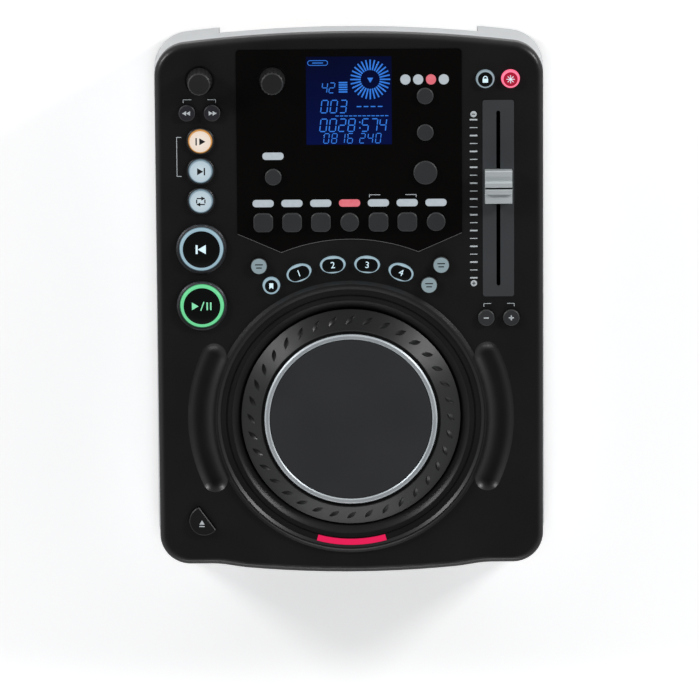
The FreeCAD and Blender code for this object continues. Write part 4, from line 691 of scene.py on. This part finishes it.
# Rows of figures: the first figure's place, the step to the next, the row's place, the height
ROWS = [("42", -13.4, 4.0, 7.2, 5.6), ("003", -13.6, 5.2, -3.3, 7.0), ("0028", -14.2, 5.2, -13.8, 7.0),
        ("574", 9.0, 4.9, -13.8, 7.0), ("0816", -12.6, 4.4, -21.2, 5.4), ("240", 7.4, 4.4, -21.2, 5.4)]
# Rows of bars: how many, the first one's place, the step to the next, the length and breadth
BAR_ROWS = [(5, (-3.2, 4.9), (0, 1.3), 4.8, 0.8), (4, (5.6, -3.4), (3.9, 0), 2.6, 0.6),
            (12, (-6.6, -8.6), (2.5, 0), 1.9, 0.5), (2, (6.0, -15.4), (0, 3.2), 0.8, 0.8)]
# The flag over them: its rim and its inside, by length, breadth and corner, and the line in it
FLAG_PLACE, FLAG_RIM, FLAG_INSIDE, FLAG_LINE = (-17.2, 21.2), (11.4, 3.0, 1.45), (10.7, 2.3, 1.1), (6.0, 0.5)
RIM_EDGE, INSIDE_EDGE = 0.04, 0.03
# The dial: its middle, the rays round it by number, distance and size, and its pointer
DIAL_PLACE, RAYS, RAY_MIDDLE, RAY, POINTER = (11.9, 11.8), 28, 8.2, (5.8, 0.8), 1.9
segments = []
for signs, start, pitch, row, height in ROWS:
    for column, sign in enumerate(signs):
        segments += figure(sign, start + column * pitch, row, height)
for count, (du, dv), (step_u, step_v), length, breadth in BAR_ROWS:
    segments += [segment(du + i * step_u, dv + i * step_v, length, breadth) for i in range(count)]
flag_u, flag_v = GLASS_U + FLAG_PLACE[0], GLASS_V + FLAG_PLACE[1]
segments.append(outline(oval_points(*FLAG_RIM, flag_u, flag_v), SEG_LOW, SEG_HIGH, RIM_EDGE))
segments.append(segment(*FLAG_PLACE, *FLAG_LINE, rise=LINE_RISE))
inside = outline(oval_points(*FLAG_INSIDE, flag_u, flag_v), SEG_LOW, SEG_HIGH + INSIDE_RISE, INSIDE_EDGE)
finish_piece("display_flag", [inside], display_blue, "case")
dial_u, dial_v = GLASS_U + DIAL_PLACE[0], GLASS_V + DIAL_PLACE[1]
ray = segment(DIAL_PLACE[0] + RAY_MIDDLE, DIAL_PLACE[1], *RAY)
segments += [ray] + [copy_round(ray, 360 * step / RAYS, (dial_u, dial_v)) for step in range(1, RAYS)]
finish_piece("display_segments", segments, lit_blue, "case")
pointer = triangle(dial_u, dial_v, POINTER, SEG_LOW, SEG_HIGH, -90)
finish_piece("display_pointer", [pointer], lit_blue, "case")

# Pitch fader cap: sloping finger rests in front of and behind two ridges, with a black line
cap_low, cap_high = panel_box("fader_cap")
cap_u = (cap_low.x + cap_high.x) / 2
rear, crown = cap_high.y, cap_high.z
length = rear - cap_low.y
LEVER, LEVER_TOP = (1.2, 6.0), 0.8
INDEX_BACK, INDEX_BREADTH, INDEX_MARGIN = 9.75, 0.84, 0.1
INDEX_UNDER = (1.1, 0.6)  # its foot and top, under the crown
# The cap's side view: distance from its rear and depth under its crown, down to its foot
CAP_FOOT, CAP_EDGE = 0.5, 0.12
ABOVE = [(0.0, 1.6), (0.5, 1.1), (2.0, 1.3), (4.2, 2.0), (6.0, 2.4), (6.4, 0.4), (6.8, 0.0), (8.9, 0.0),
         (9.2, 0.3), (9.3, 0.9), (10.2, 0.9), (10.3, 0.3), (10.6, 0.0), (12.7, 0.0), (13.1, 0.4),
         (13.4, 2.4), (15.2, 2.0), (length - 1.4, 1.5), (length - 0.4, 1.3), (length, 1.8)]
profile = [(0.0, CAP_FOOT)] + [(back, crown - under) for back, under in ABOVE] + [(length, CAP_FOOT)]
breadth = cap_high.x - cap_low.x
grip = extruded([(cap_low.x, rear - back, w) for back, w in profile], (breadth, 0, 0), CAP_EDGE, 2)
lever = bar(cap_u, rear - length / 2, *LEVER, cap_low.z, LEVER_TOP)
cap = finish_piece("fader_cap_grip", [grip, lever], fader_silver, "pitch_fader")
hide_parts("fader_cap")
index = bar(cap_u, rear - INDEX_BACK, breadth - INDEX_MARGIN, INDEX_BREADTH,
            crown - INDEX_UNDER[0], crown - INDEX_UNDER[1], width=MARK_EDGE)
finish_piece("fader_index", [index], mark_black, "pitch_fader")

# A grey strip along the overlay's lower edge, which arches over the hot cue pads: a painted highlight for
# the glint on that glossy edge
SHOULDER, NOTCH, ARCH = (62.5, 38.8), (38.2, 28.2), 35.6
HIGHLIGHT_HALF, HIGHLIGHT_RISE, HIGHLIGHT_SINK = 0.16, 0.03, 0.1
ARCH_STEPS = 32
rise = ARCH - NOTCH[1]
arch_radius = (NOTCH[0] ** 2 + rise ** 2) / (2 * rise)
spread = atan2(NOTCH[0], arch_radius - rise)
edge = [SHOULDER]
for i in range(ARCH_STEPS + 1):
    angle = spread * (1 - 2 * i / ARCH_STEPS)
    edge.append((arch_radius * sin(angle), ARCH - arch_radius + arch_radius * cos(angle)))
edge.append((-SHOULDER[0], SHOULDER[1]))
highlight_strip = [(u, v + HIGHLIGHT_HALF) for u, v in edge] + [(u, v - HIGHLIGHT_HALF) for u, v in reversed(edge)]
finish_piece("overlay_edge_highlight", [outline(highlight_strip, -HIGHLIGHT_SINK, overlay_top + HIGHLIGHT_RISE)], painted_edge_highlight, "case")

# Studio: softboxes by place, size and power, all aimed at the middle of the player
LAMP_AIM = Vector((0.0, 0.0, 0.05))
SOFTBOXES = {"left_softbox": ((-1.25, 0.75, 0.8), (0.34, 0.2), 9.0),
             "right_softbox": ((1.25, 0.75, 0.8), (0.34, 0.2), 11.0),
             "front_softbox": ((0.0, -1.5, 0.6), (1.2, 0.3), 5.0)}
for name, (place, size, power) in SOFTBOXES.items():
    light = bpy.data.lights.new(name, "AREA")
    light.shape, light.energy = "RECTANGLE", power
    light.size, light.size_y = size
    holder = bpy.data.objects.new(name, light)
    bpy.context.scene.collection.objects.link(holder)
    holder.location = place
    holder.rotation_euler = (LAMP_AIM - Vector(place)).to_track_quat("-Z", "Y").to_euler()

# A sky that is bright at the horizon and dark overhead, and white where the camera sees it
HORIZON, ZENITH = (0.3, (0.8, 0.81, 0.83, 1)), (0.85, (0.06, 0.06, 0.062, 1))
world = bpy.data.worlds.new("studio")
bpy.context.scene.world = world
world.use_nodes = True
nodes, links = world.node_tree.nodes, world.node_tree.links
sky_place = nodes.new("ShaderNodeTexCoord")
split = nodes.new("ShaderNodeSeparateXYZ")
ramp = nodes.new("ShaderNodeValToRGB")
seen = nodes.new("ShaderNodeLightPath")
white = nodes.new("ShaderNodeMix")
white.data_type = "RGBA"
white.inputs[7].default_value = (1, 1, 1, 1)
for element, (position, colour) in zip(ramp.color_ramp.elements, (HORIZON, ZENITH)):
    element.position, element.color = position, colour
links.new(sky_place.outputs["Generated"], split.inputs[0])
links.new(split.outputs["Z"], ramp.inputs[0])
links.new(seen.outputs["Is Camera Ray"], white.inputs[0])
links.new(ramp.outputs["Color"], white.inputs[6])
links.new(white.outputs[2], nodes["Background"].inputs["Color"])

# Floor: near white, with a share of its own light where the camera sees it
clear_selection()
bpy.ops.mesh.primitive_plane_add(size=6.0, location=(0, 0, 0))
floor = bpy.context.object
floor.name = "floor"
floor_white = Finish("floor_white", Roughness=0.6, Emission_Strength=1.0)
cloud = floor_white.noise(3.0, 2.0)
floor_white.feed("Base Color", floor_white.mix(cloud, linear("f4f4f4"), linear("fafafa")))
path = floor_white.node("ShaderNodeLightPath", output="Is Camera Ray")
floor_white.feed("Emission Color", floor_white.mix(path, linear("000000"), linear("b0b0b0")))
floor.data.materials.append(floor_white.material)

# Camera: a long lens nearly straight above, fitted to the photograph's corners
EYE = Vector((-0.0003, 0.337805, 3.251024))
TARGET = Vector((-0.0003, -0.024445, 0.071595))
ROLL = radians(-0.38)
SENSOR, LENS, FAR_LIMIT = 36.0, 293.9, 20.0
backwards = (EYE - TARGET).normalized()
right = Vector((1, 0, 0))
up = backwards.cross(right)
camera_x = right * cos(ROLL) + up * sin(ROLL)
camera_y = up * cos(ROLL) - right * sin(ROLL)
camera_data = bpy.data.cameras.new("camera")
camera_data.sensor_width, camera_data.lens, camera_data.clip_end = SENSOR, LENS, FAR_LIMIT
camera = bpy.data.objects.new("camera", camera_data)
bpy.context.scene.collection.objects.link(camera)
facing = Matrix((camera_x, camera_y, backwards)).transposed().to_4x4()
camera.matrix_world = Matrix.Translation(EYE) @ facing
bpy.context.scene.camera = camera
bpy.context.scene.view_settings.view_transform = "Standard"
